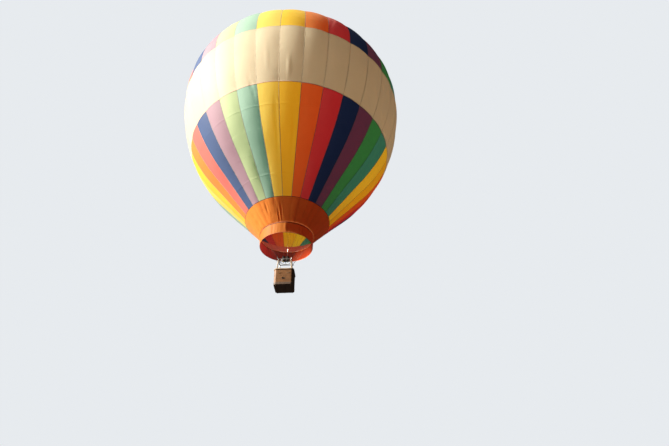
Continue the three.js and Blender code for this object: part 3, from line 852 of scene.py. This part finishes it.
for name, x, y, first_seam in CORNERS:
    hole, out, across = corner_axes(x, y)
    shape = Shape()
    # Karabiner: a long link with a screw gate on one side
    middle = hole + up(KARABINER_RISE)
    gate = across * 0.026
    link = [(math.cos(t) * (1 + 0.1 * math.sin(t)), 0.033 * math.sin(t)) for t in turns(40)]
    shape.tube([middle + gate * a + up(b) for a, b in link], 0.006, 10, closed=True)
    shape.rod(middle + gate, UP, (-0.014, -0.012, 0.012, 0.014), [0.0075, 0.0088, 0.0088, 0.0075], 12)
    knot = middle + up(0.04)
    shape.torus(0.014, 0.0045, knot, Matrix.Rotation(TURN / 4, 4, Vector(out)) @ towards(out))
    for i in range(GORES // 4 + 1):
        # The first and last wires of a corner stand aside from the next corners' ones
        aside = ((i == 0) - (i == GORES // 4)) * 0.012 / THIMBLE_RING
        angle = (first_seam + i) * GORE_ANGLE + aside
        top = polar(angle, THIMBLE_RING, MOUTH_LEVEL - 0.012)
        direction, length = unit(top - knot), np.linalg.norm(top - knot)
        shape.rod(knot, direction, (0.012, 0.5, 1.0, 1.4, length), 0.0026, 6)
        # Swaged sleeves and thimbles at both ends
        for d, e in ((0.016, 0.06), (length - 0.075, length - 0.03)):
            places = (d, d + 0.004, e - 0.004, e)
            shape.rod(knot, direction, places, [0.004, 0.0058, 0.0058, 0.004], 8, tag=1)
        outwards, sideways = polar(angle, 1.0), polar(angle + TURN / 4, 1.0)
        side = unit(np.cross(direction, sideways))
        eye = [(0.018 * math.cos(t) - 0.012, 0.009 * math.sin(t)) for t in turns(12)]
        shape.tube([top + direction * a + side * b for a, b in eye], 0.003, 6, closed=True, tag=1)
        # The load tape's end is sewn round the thimble
        ends = [top + outwards * 0.03 + up(0.03), top + outwards * 0.02 + up(0.02), top + direction * 0.004]
        outer = np.array([[p - sideways * 0.009, p + sideways * 0.009] for p in ends])
        shape.slab(outer + outwards * 0.001, outer - outwards * 0.001, tag=2)
    looks = WIRE, DARK_STEEL, SLEEVE
    dress(shape.make(f"flying_wires_{name}_rigging", BODY, *looks), "wire", f"flying_wires_{name}")


# Burner frame: square tube with rounded edges, a lug at each corner and a bearing block on each side
def square_section(width, edge, steps=3):
    """Outline of a square tube: out and up from its middle, counterclockwise seen along the tube."""
    half = width / 2 - edge
    places = []
    for quarter, (sx, sz) in enumerate([(1, -1), (1, 1), (-1, 1), (-1, -1)]):
        for i in range(steps + 1):
            a = TURN / 4 * (quarter - 1 + i / steps)
            places.append((sx * half + edge * math.cos(a), sz * half + edge * math.sin(a)))
    return places


LUG_OUTLINE = [(-0.072, -0.020), (-0.072, 0.036)]
LUG_OUTLINE += [(0.028 * math.sin(a), 0.008 + 0.028 * math.cos(a)) for a in np.linspace(0, math.pi, 12)]
LUG_HOLE = [(0.013 * math.sin(a), 0.013 * math.cos(a)) for a in turns(16)]
BEARING = [(0.0125, -0.0125), (0.0255, -0.0125), (0.0255, 0.0105), (0.0235, 0.0125), (0.0125, 0.0125)]
BEARING_FACE = FRAME_HALF[0] - FRAME_BAR

shape = Shape()
bar_loop = Loop(2 * FRAME_HALF[0] - FRAME_BAR, 2 * FRAME_HALF[1] - FRAME_BAR, FRAME_CORNER - FRAME_BAR / 2)
distances = bar_loop.evenly(0.12, 8)
section = square_section(FRAME_BAR, 0.006)
grid = np.array([bar_loop.at(distances, out, FRAME_LEVEL + rise) for out, rise in section])
shape.put(grid, grid_faces(*grid.shape[:2], ring=True, closed=True, flip=True))
for name, x, y, _ in CORNERS:
    hole, out, across = corner_axes(x, y)
    # The lug: a plate with a rounded outer end round its hole
    plate = bmesh.new()
    sides = []
    for side in (-0.006, 0.006):
        edges, loops = [], []
        for places in (LUG_OUTLINE, LUG_HOLE):
            loop = [plate.verts.new(hole + out * u + up(v) + across * side) for u, v in places]
            edges += [plate.edges.new((a, b)) for a, b in zip(loop, loop[1:] + loop[:1])]
            loops.append(loop)
        bmesh.ops.triangle_fill(plate, edges=edges, use_beauty=True)
        sides.append(loops)
    for one, other in zip(*sides):
        for i in range(len(one)):
            plate.faces.new((one[i - 1], one[i], other[i], other[i - 1]))
    bmesh.ops.recalc_face_normals(plate, faces=plate.faces[:])
    shape.take(plate)
    # Weld beads where the lug meets the tube, and the socket that holds the upright's head
    for side in (-0.007, 0.007):
        shape.rod(hole - out * (LUG_OUT + 0.004) + across * side, UP, (-0.018, 0.0, 0.018), 0.0035, 6)
    _, head, along, _ = upright_axis(x, y, 0.018)
    shape.rod(head, -along, (0.0, 0.085, 0.09), [0.0285, 0.0285, 0.027], 20)
    shape.rod(head - along * 0.06, across, (0.036, -0.036), 0.005, 10, tag=1)
for side in (-1, 1):
    matrix = placed((side * (BEARING_FACE - 0.0125), 0, FRAME_LEVEL), (side, 0, 0))
    shape.lathe(BEARING + BEARING[:1], 28, matrix)
    shape.box((0.022, 0.05, 0.05), (side * (BEARING_FACE - 0.0005), 0, FRAME_LEVEL), 0.004)
burner_frame = soft_edges(shape.make("burner_frame_welded", BODY, FRAME, DARK_STEEL))
dress(burner_frame, "steel", "burner_frame")

# Gimbal ring with its pins and the bearings of the burner's shaft
GIMBAL_RADIUS = 0.30
SHAFT_BEARING = [(0.0125, -0.021), (0.0245, -0.021), (0.0255, -0.018)]
SHAFT_BEARING += [(0.0255, 0.018), (0.0245, 0.021), (0.0125, 0.021)]
centre = (0, 0, FRAME_LEVEL)
shape = Shape()
shape.torus(GIMBAL_RADIUS, 0.0135, centre, segments=72, sides=12)
for side in (-1, 1):
    pin_end = BEARING_FACE - 0.004
    shape.rod(centre, (side, 0, 0), (GIMBAL_RADIUS, pin_end - 0.002, pin_end), [0.01, 0.01, 0.0085])
    shape.rod(centre, (side, 0, 0), (GIMBAL_RADIUS + 0.010, GIMBAL_RADIUS + 0.028), 0.016)
    matrix = placed((0, side * GIMBAL_RADIUS, FRAME_LEVEL), (0, side, 0))
    shape.lathe(SHAFT_BEARING + SHAFT_BEARING[:1], 28, matrix)
dress(soft_edges(shape.make("gimbal_ring_turned", "gimbal", FRAME)), "steel", "gimbal_ring")

# Burner: manifold with valves and levers, and two cans with their coils and jets
CAN_RADIUS = 0.105
CAN_APART = 0.12
CAN_BASE = FRAME_LEVEL + 0.05
BAR_LEVEL = CAN_BASE - 0.02
VALVE_LEVEL = BAR_LEVEL - 0.052
JET_RING = 0.062
JET_BLOCK = [(0.0, 0.07), (0.030, 0.07), (0.042, 0.062), (0.042, 0.004), (0.036, -0.004), (0.0, -0.004)]
VALVE = [(0.0, 0.0), (0.021, 0.0), (0.021, -0.028), (0.017, -0.032), (0.017, -0.055)]
VALVE += [(0.012, -0.06), (0.0, -0.06)]
GAUGE = [(0.0, 0.014), (0.019, 0.014), (0.022, 0.010), (0.022, -0.006), (0.010, -0.010)]
GAUGE += [(0.010, -0.018), (0.0, -0.018)]
shape = Shape()
shape.box((0.33, 0.056, 0.04), (0, 0, BAR_LEVEL), 0.006)
shape.box((0.056, 0.056, 0.07), (0, 0, FRAME_LEVEL + 0.015), 0.006)
shape.rod(centre, (0, 1, 0), (-0.324, -0.322, 0.322, 0.324), [0.0085, 0.01, 0.01, 0.0085], tag=1)
for side in (-1, 1):
    shape.rod(centre, (0, side, 0), (0.262, 0.275), 0.016, tag=1)
    base = np.array([side * CAN_APART, 0, CAN_BASE])
    # Jet block, jet ring with its nozzles, and the pilot light beside it
    shape.lathe(JET_BLOCK, 32, placed(base))
    shape.torus(JET_RING, 0.007, base + up(0.085), segments=40, tag=1)
    for a in turns(4) + TURN * 3 / 8:
        pipe = ((0.030, 0.055), (0.05, 0.072), (JET_RING, 0.085))
        shape.tube([base + polar(a, r, z) for r, z in pipe], 0.005, tag=1)
    for a in turns(12) + TURN / 4 + 0.13:
        shape.rod(base + polar(a, JET_RING), UP, (0.088, 0.096, 0.099), [0.0042, 0.0042, 0.0025], 8, tag=2)
    shape.rod(base + [0, 0.036, 0], UP, (0.05, 0.105, 0.108), [0.011, 0.011, 0.008], 12, tag=2)
    # Vaporising coil of six turns
    bends = np.linspace(0, 6 * TURN, 145)
    coil = base + polar(bends + TURN / 4, 0.086, 0.032 + 0.037 * bends / TURN)
    shape.tube([base + [0.03, 0, 0.012], base + [0.06, 0, 0.018], *coil], 0.0075, tag=1)
    # Valve body below the can, its outlet, and the blast lever with its grip
    shape.lathe(VALVE, 24, placed((base[0], 0, BAR_LEVEL - 0.019)), tag=2)
    valve = np.array([base[0], 0, VALVE_LEVEL])
    shape.rod(valve, (0, 1, 0), (-0.012, -0.05, -0.052), [0.0085, 0.0085, 0.006], 12, tag=2)
    start, end = valve + [side * 0.012, -0.12, -0.033], valve + [side * 0.02, -0.165, -0.048]
    shape.tube([valve + [0, -0.045, 0], valve + [0, -0.075, -0.006], start, end], 0.005, tag=1)
    radii = [0.008, 0.0105, 0.0115, 0.0105, 0.006]
    shape.rod(start, end - start, (0.2, 0.25, 0.6, 1.0, 1.08), radii, 12, tag=3)
    # Pressure gauge on the end of the manifold
    shape.lathe(GAUGE, 24, placed((side * 0.179, -0.012, BAR_LEVEL), (side, -0.4, 0.0)), tag=2)
looks = BURNER, COIL, BRASS, GRIP
manifold = soft_edges(shape.make("burner_manifold_block", "burner", *looks))
dress(manifold, "burner_block", "burner_manifold")

# Profile of a can as how far each place lies inside the can's radius, and its height
CAN_PROFILE = [(0.004, 0.3), (0, 0.296), (0, 0.282), (0.003, 0.276), (0.003, 0.19), (0.001, 0.186)]
CAN_PROFILE += [(0.001, 0.176), (0.003, 0.172), (0.003, 0.045), (0.001, 0.041), (0.001, 0.012)]
CAN_PROFILE += [(0.003, 0), (0.006, 0), (0.006, 0.28), (0.010, 0.296), (0.008, 0.3), (0.004, 0.3)]
RIVET = [(0.0, 0.0022), (0.0022, 0.0018), (0.0034, 0.0)]
RIVET_TURN = TURN / 4 + 2.2
for side, name in ((-1, "left"), (1, "right")):
    base = np.array([side * CAN_APART, 0, CAN_BASE])
    shape = Shape()
    shape.lathe([(CAN_RADIUS - i, z + 0.0003) for i, z in CAN_PROFILE], 64, placed(base))
    # Rivets along the can's seam, and the brackets that carry it on the manifold
    for i in range(7):
        place = base + polar(RIVET_TURN, CAN_RADIUS - 0.002, 0.03 + 0.038 * i)
        shape.lathe(RIVET, 8, placed(place, polar(RIVET_TURN, 1.0)))
    for a in turns(3) + 0.5:
        place = base + polar(a + TURN / 4, CAN_RADIUS + 0.001, 0.016)
        shape.box((0.004, 0.022, 0.034), place, 0.001, Matrix.Rotation(a, 4, "Z"), tag=1)
    can = soft_edges(shape.make(f"burner_can_{name}_spun", "burner", CAN, COIL))
    dress(can, "burner_steel", f"burner_can_{name}")

# Uprights in padded, laced leather sleeves
for name, x, y, _ in CORNERS:
    foot, head, along, length = upright_axis(x, y, 0.023)
    shape = Shape()
    shape.rod(foot, along, (0.0, 0.02, length - 0.003, length), [0.019, 0.021, 0.021, 0.019])
    dress(shape.make(f"upright_{name}_rod", BODY, ROD), "leather", f"upright_{name}")
    shape = Shape()
    places = np.linspace(0.06, length - 0.115, 34)
    rolls = 0.0305 + 0.0014 * np.sin(places * 41 + x) + 0.0009 * np.sin(places * 97 + y)
    rolls[[0, 1, -2, -1]] = 0.024, 0.0295, 0.0295, 0.024
    shape.rod(foot, along, places, rolls, 24)
    # Lacing down its inner side
    inner = np.array([-x, -y, 0]) / math.sqrt(2)
    sideways = np.cross(along, inner)
    for p in 0.09 + (length - 0.24) * np.arange(20) / 19:
        lace = [(p, 0.028, -0.010), (p + 0.009, 0.0335, 0.0), (p + 0.018, 0.028, 0.010)]
        shape.tube([foot + along * a + inner * b + sideways * c for a, b, c in lace], 0.0018, 5, tag=1)
    cover = shape.make(f"upright_{name}_cover", BODY, SUEDE, LACE)
    dress(cover, "leather")

# Basket
FLOOR_THICKNESS = 0.02
RUNNER_HEIGHT = 0.04
FLOOR_TOP = BASKET_BOTTOM + RUNNER_HEIGHT + FLOOR_THICKNESS
RIM_TOP, RIM_HEIGHT, RIM_OUT, RIM_IN = -14.11, 0.07, 0.035, 0.015
GAP = 0.0003
WALL_BOTTOM = FLOOR_TOP + GAP
WALL_TOP = RIM_TOP - RIM_HEIGHT - GAP
HOLE_WIDTH, HOLE_HEIGHT, HOLE_LEVEL = 0.15, 0.11, -14.775
STAKES = 88
ROW_HEIGHT = 0.0131
WALE_HEIGHT = 0.054
basket = Loop(*BASKET, BASKET_CORNER)

# Rows of cane from the bottom up: thick twisted rows at the foot, the middle and the top, thin ones between
hole_low, hole_high = HOLE_LEVEL - HOLE_HEIGHT / 2, HOLE_LEVEL + HOLE_HEIGHT / 2
edges = [WALL_BOTTOM, WALL_BOTTOM + 0.051, hole_low, hole_high]
edges += [hole_high + WALE_HEIGHT, WALL_TOP - WALE_HEIGHT, WALL_TOP]
row_levels, thick = [WALL_BOTTOM], []
for low, high, wale in zip(edges, edges[1:], (True, False, False, True, False, True)):
    count = 3 if wale else max(1, round((high - low) / ROW_HEIGHT))
    row_levels += list(np.linspace(low, high, count + 1)[1:])
    thick += [wale] * count


def woven_wall(per_stake, inside):
    """Levels, distances round the basket, and how far each place stands out, for one side of the wall.

    Each row has a low edge between the stakes' two sides and a middle that weaves in and out.
    """
    stake = np.arange(STAKES * per_stake) / per_stake
    edge = np.full_like(stake, -0.0042)
    heights, outs = [], []
    for row, wale in enumerate(thick):
        low, high = row_levels[row], row_levels[row + 1]
        wave = 0.0033 * np.cos(math.pi * (stake + row))
        if wale:
            wave = 0.0035 * np.cos(TURN * (stake + row) / 3) + 0.003
        heights += [low, (low + high) / 2]
        outs += [edge, (-wave if inside else wave) + 0.0008]
    # Mask for painted shade: 0 at each row's low edge, in the hollows, and 1 at its middle
    hollow_shade_mask = np.arange(2 * len(thick) + 1) % 2
    return [*heights, row_levels[-1]], stake * basket.length / STAKES, np.array([*outs, edge]), hollow_shade_mask[:, None]


points, faces, weave = [], [], []
for per_stake, inside in ((4, False), (2, True)):
    heights, distances, outs, hollow_shade_mask = woven_wall(per_stake, inside)
    distance, level = np.meshgrid(distances, heights)
    place = basket.at(distance, (-WALL - outs + 0.003) if inside else (outs - 0.003), level).reshape(-1, 3)
    # Rows run upwards here, so the outer side's faces are turned round. The two step holes are left open.
    start = sum(map(len, points))
    for quad in grid_faces(*distance.shape, ring=True):
        x, y, z = place[quad].mean(0)
        if not (abs(x) < HOLE_WIDTH / 2 and hole_low < z < hole_high and abs(y) > 0.4):
            faces.append([i + start for i in (quad if inside else reversed(quad))])
    points.append(place)
    # The third figure is the mask for painted shade in the hollows
    weave.append(np.stack([distance, level, hollow_shade_mask + 0 * level], -1).reshape(-1, 3))
cloth = np.concatenate(weave)
walls = new_mesh("basket_walls_woven", np.concatenate(points), faces, [WICKER], BODY, cloth=cloth)
dress(walls, "wicker", "basket_walls")

# Bound edges of the step holes
EDGE_BEND = 0.012
half_x, half_z = HOLE_WIDTH / 2 + 0.004 - EDGE_BEND, HOLE_HEIGHT / 2 + 0.002 - EDGE_BEND
middle = np.array([0, 0, HOLE_LEVEL])
ring = []
for quarter, (sx, sz) in enumerate([(1, 1), (-1, 1), (-1, -1), (1, -1)]):
    for a in TURN / 4 * (quarter + np.arange(5) / 4):
        ring.append((sx * half_x + EDGE_BEND * math.cos(a), 0, sz * half_z + EDGE_BEND * math.sin(a)))
ring = middle + np.array(ring)
shape = Shape()
for side in (-1, 1):
    for reach in (BASKET[1] / 2 + 0.001, BASKET[1] / 2 - WALL - 0.001):
        shape.tube(ring + [0, side * reach, 0], 0.0085, closed=True)
    grid = np.array([ring + [0, side * (BASKET[1] / 2 - WALL * depth), 0] for depth in (0.0, 0.5, 1.0)])
    shape.slab(grid, middle + (grid - middle) * [0.97, 1, 0.97], ring=True)
dress(shape.make("step_hole_edges", BODY, LEATHER), "leather")

# Rim: a padded roll in leather, drawn in at its joins, and its lacing to the wicker
ROLL_POWER = 3.2
ROLL_MIDDLE = (RIM_OUT - RIM_IN - WALL) / 2
half_width = (RIM_OUT + WALL + RIM_IN) / 2
distances = basket.evenly(0.03, 10)
joins = np.arange(14) * basket.length / 14 + 0.1
half = basket.length / 2
near = np.abs((distances[:, None] - joins + half) % basket.length - half).min(1)
grid = []
for a in turns(20):
    u, v = math.cos(a), math.sin(a)
    soft = (abs(u) ** ROLL_POWER + abs(v) ** ROLL_POWER) ** (-1 / ROLL_POWER)
    out, rise = half_width * u * soft, RIM_HEIGHT / 2 * v * soft
    drawn = 1 - 0.05 * np.exp(-((near / 0.012) ** 2)) + 0.008 * np.sin(distances * 23) * (rise > 0)
    grid.append(basket.at(distances, ROLL_MIDDLE + out * drawn, RIM_TOP - RIM_HEIGHT / 2 + rise * drawn))
shape = Shape()
shape.put(grid, grid_faces(len(grid), len(distances), ring=True, closed=True, flip=True))
LACES = 104
lace = basket.length / LACES
for d in lace * np.arange(LACES):
    path = [(0.0, 0.001, -0.014), (0.375, 0.012, -0.001), (0.75, 0.030, 0.012)]
    path = [basket.at(d + lace * share, out, RIM_TOP - RIM_HEIGHT + rise) for share, out, rise in path]
    shape.tube(path, 0.0022, 5, tag=1)
rim = shape.make("basket_rim_roll", BODY, RIM, LACE)
dress(rim, "leather", "basket_rim")

# Hide wrapped round the basket's foot, stitched along its top
heights = WALL_BOTTOM + np.array([0.125, 0.119, 0.08, 0.03, -0.012, -0.021])
outs = np.array([0.0045, 0.0062, 0.0058, 0.0066, 0.0064, 0.004])
distance, row = np.meshgrid(basket.evenly(0.04, 10), np.arange(len(heights)))
out = outs[row] + 0.0012 * np.sin(distance * 31) * (row < 4)
shape = Shape()
shape.slab(basket.at(distance, out, heights[row]), basket.at(distance, out - 0.003, heights[row]), ring=True)
for d in basket.length * (np.arange(96) + 0.5) / 96:
    stitch = [(0.0, 0.004, 0.008), (0.004, 0.0085, -0.004), (0.008, 0.006, -0.016)]
    shape.tube([basket.at(d + a, out, heights[0] + rise) for a, out, rise in stitch], 0.0016, 5, tag=1)
dress(shape.make("basket_foot_hide", BODY, LEATHER, LACE), "leather")

# Plywood floor, and its runners with their screws
SCREW = [(0.0, 0.0015), (0.004, 0.001), (0.005, 0.0)]
FLOOR_EDGE = [(-0.002, 0.0), (0.0, -0.002), (0.0, 0.002 - FLOOR_THICKNESS), (-0.002, -FLOOR_THICKNESS)]
distances = basket.evenly(0.2, 10)
n = len(distances)
shape = Shape()
caps = [list(range(n)), list(range(3 * n, 4 * n))[::-1]]
edge = [basket.at(distances, out, FLOOR_TOP + z) for out, z in FLOOR_EDGE]
shape.put(edge, grid_faces(4, n, ring=True) + caps)
for x in (-0.425, 0, 0.425):
    shape.box((0.06, 0.97, RUNNER_HEIGHT), (x, 0, BASKET_BOTTOM + RUNNER_HEIGHT / 2), 0.006)
    for j in range(6):
        matrix = placed((x, -0.4 + 0.16 * j, BASKET_BOTTOM - 0.0005)) @ Matrix.Rotation(math.pi, 4, "X")
        shape.lathe(SCREW, 8, matrix, tag=1)
floor_board = soft_edges(shape.make("basket_floor_boards", BODY, WOOD, STEEL))
dress(floor_board, "wood", "basket_floor")

# Rope handles through the wicker, each of three strands
HANDLE_HALF = 0.075
HANDLE_LEVEL = -14.36
shape = Shape()
for d in basket.length * (np.arange(8) + 0.5) / 8:
    t = np.linspace(0, math.pi, 17)
    sag = np.sin(t)
    path = basket.at(d - HANDLE_HALF * np.cos(t), -0.006 + 0.022 * sag**0.6, HANDLE_LEVEL - 0.085 * sag)
    base = np.stack([np.interp(np.linspace(0, 16, 85), range(17), path[:, axis]) for axis in range(3)], -1)
    tangent = np.gradient(base, axis=0)
    tangent /= np.linalg.norm(tangent, axis=1, keepdims=True)
    normal = unit(basket.at(d, 1.0) - basket.at(d, 0.0))
    other = np.cross(tangent, normal)
    for start in turns(3):
        twist = np.linspace(0, 7 * TURN, 85)[:, None] + start
        shape.tube(base + 0.0042 * (normal * np.cos(twist) + other * np.sin(twist)), 0.0043, 5)
dress(shape.make("rope_handles", BODY, ROPE), "load_tape")

# Gas cylinders in padded jackets, strapped to the corners. Profiles in radius and height above the floor.
CYLINDER_PLACE = (0.38, 0.35)
TANK = [(0.0, 0.708), (0.045, 0.708), (0.07, 0.704), (0.095, 0.69), (0.115, 0.668), (0.127, 0.642)]
TANK += [(0.130, 0.61), (0.130, 0.09), (0.128, 0.07), (0.120, 0.05), (0.112, 0.04), (0.0, 0.04)]
FOOT_RING = [(0.108, 0.045), (0.110, 0.04), (0.110, 0.003), (0.108, 0.0), (0.104, 0.0)]
FOOT_RING += [(0.104, 0.045), (0.108, 0.045)]
COLLAR = [(0.066, 0.80), (0.0695, 0.797), (0.0695, 0.70), (0.0705, 0.68)]
TANK_VALVE = [(0.0, 0.765), (0.016, 0.763), (0.019, 0.757), (0.019, 0.748), (0.008, 0.742), (0.008, 0.728)]
TANK_VALVE += [(0.014, 0.724), (0.014, 0.70), (0.0, 0.70)]
LEVEL_GAUGE = [(0.0, 0.742), (0.021, 0.742), (0.023, 0.738), (0.023, 0.722), (0.012, 0.716)]
LEVEL_GAUGE += [(0.012, 0.70), (0.0, 0.70)]
JACKET_PROFILE = [(0.1305, 0.595), (0.1345, 0.592), (0.1362, 0.55), (0.1362, 0.36), (0.1350, 0.335)]
JACKET_PROFILE += [(0.1362, 0.31), (0.1362, 0.14), (0.1345, 0.105), (0.1305, 0.102), (0.1303, 0.35)]
JACKET_PROFILE += [(0.1305, 0.595)]
STRAP = [(0.1365, 0.019), (0.1385, 0.018), (0.1385, -0.018), (0.1365, -0.019), (0.1360, 0), (0.1365, 0.019)]
for name, x, y, _ in CORNERS:
    base = np.array([x * CYLINDER_PLACE[0], y * CYLINDER_PLACE[1], FLOOR_TOP + GAP])
    shape = Shape()
    shape.lathe(TANK, 40, placed(base))
    shape.lathe(FOOT_RING, 40, placed(base))
    # Collar with two hand holes, drawn as two bowed plates
    for begin in (0.5, math.pi + 0.5):
        angles = np.linspace(0.28, math.pi - 0.28, 22) + begin + TURN / 4
        outer, inner = (np.array([base + polar(angles, r - d, z) for r, z in COLLAR]) for d in (0, 0.004))
        shape.slab(outer, inner)
    # Valve and level gauge inside the collar
    shape.lathe(TANK_VALVE, 20, placed(base + [0.024, 0.01, 0]), tag=1)
    shape.lathe(LEVEL_GAUGE, 24, placed(base + [-0.03, -0.012, 0]), tag=1)
    tank = soft_edges(shape.make(f"gas_cylinder_{name}_tank", BODY, CYLINDER, BRASS))
    dress(tank, "cylinder", f"gas_cylinder_{name}")
    shape = Shape()
    shape.lathe(JACKET_PROFILE, 48, placed(base))
    # Straps with their buckles
    for level in (0.20, 0.48):
        shape.lathe(STRAP, 48, placed(base + up(level)), tag=1)
        shape.box((0.008, 0.05, 0.044), (base[0] - x * 0.139, base[1], base[2] + level), 0.003, tag=2)
    jacket = shape.make(f"gas_cylinder_{name}_jacket", BODY, JACKET, TAPE, STEEL)
    dress(jacket, "cylinder")

# Camera, where the photograph was taken from
CAMERA_TURN = math.radians(8.089)
CAMERA_YAW = math.radians(-0.5554)
CAMERA_PITCH = math.radians(37.1952)
CAMERA_ROLL = math.radians(-1.4941)
CAMERA_DISTANCE = 23.0278
CAMERA_LEVEL = -27.8229
scene = bpy.context.scene
camera_data = bpy.data.cameras.new("camera")
camera_data.sensor_width = 36.0
camera_data.lens = 24.0
camera_data.clip_end = 2000.0
camera = bpy.data.objects.new("camera", camera_data)
scene.collection.objects.link(camera)
scene.camera = camera
flat_forward = Vector((math.sin(CAMERA_YAW), math.cos(CAMERA_YAW), 0))
forward = flat_forward * math.cos(CAMERA_PITCH) + Vector((0, 0, math.sin(CAMERA_PITCH)))
right = Vector((math.cos(CAMERA_YAW), -math.sin(CAMERA_YAW), 0))
roll = Matrix.Rotation(CAMERA_ROLL, 4, -forward)
upright = Matrix((right, right.cross(forward), -forward)).transposed().to_4x4()
eye = Vector(polar(CAMERA_TURN, CAMERA_DISTANCE, CAMERA_LEVEL))
camera.matrix_world = Matrix.Translation(eye) @ roll @ upright


def light(name, kind, energy, colour, towards_light, location=(0, 0, 0), **settings):
    """A light that shines from a direction."""
    data = bpy.data.lights.new(name, kind)
    for key, value in {"energy": energy, "color": colour, **settings}.items():
        setattr(data, key, value)
    obj = bpy.data.objects.new(name, data)
    obj.location = location
    obj.rotation_mode = "QUATERNION"
    obj.rotation_quaternion = Vector(towards_light).to_track_quat("Z", "Y")
    obj.visible_camera = kind == "SUN"
    scene.collection.objects.link(obj)


def sun_direction(height):
    return polar(-SUN_AZIMUTH, math.cos(height), math.sin(height))


# The sun, and the bright haze round it, lower and much wider
SUN_AZIMUTH = math.radians(70)
SUN_HEIGHT = math.radians(26)
HAZE_HEIGHT = math.radians(5)
SUN_COLOUR = (1.0, 0.93, 0.80)
light("key", "SUN", 10.0, SUN_COLOUR, sun_direction(SUN_HEIGHT), angle=math.radians(10))
light("haze", "SUN", 2.6, SUN_COLOUR, sun_direction(HAZE_HEIGHT), angle=math.radians(60))
# A soft lamp inside the envelope lights the cloth from behind, as daylight through its far side does
light("inner_glow", "POINT", 2000.0, (1.0, 0.90, 0.70), (0, 0, 1), (0, 0, -2.5), shadow_soft_size=2.0)
# A small lamp under the mouth brightens the skirt's far right inner side, as sunlight through it does
FILL_PLACE = Vector((0.2, -0.55, -12.75))
FILL_TARGET = Vector((1.05, 1.25, -12.4))
light(
    "skirt_fill", "SPOT", 900.0, (1.0, 0.72, 0.45), FILL_PLACE - FILL_TARGET, FILL_PLACE,
    spot_size=math.radians(62), spot_blend=1.0, shadow_soft_size=0.2,
)

world = bpy.data.worlds.new("studio")
scene.world = world
look = Look(world)
seen = look.add("Background", {"Color": (0.80, 0.83, 0.86, 1.0), "Strength": 1.0})
lighting = look.add("Background", {"Color": (0.85, 0.92, 1.0, 1.0), "Strength": 0.05})
is_seen = look.add("LightPath", {})["Is Camera Ray"]
both = look.add("MixShader", {0: is_seen, 1: lighting[0], 2: seen[0]})
look.add("OutputWorld", {"Surface": both[0]})
scene.view_settings.view_transform = "Standard"

# Floor, just under the camera
FLOOR_LEVEL = -27.9
FLOOR_RADIUS = 400.0
look = new_look("floor")
floor_colour = look.shaded((0.62, 0.61, 0.59), look.noise(0.4, 5.0), 0.94)
FLOOR = look.done(look.add("BsdfPrincipled", {"Base Color": floor_colour, "Roughness": 0.9}))
circle = polar(turns(64), FLOOR_RADIUS, FLOOR_LEVEL)
floor = new_mesh("floor", circle, [list(range(64))], [FLOOR], None)
floor.visible_diffuse = False
floor.visible_glossy = False
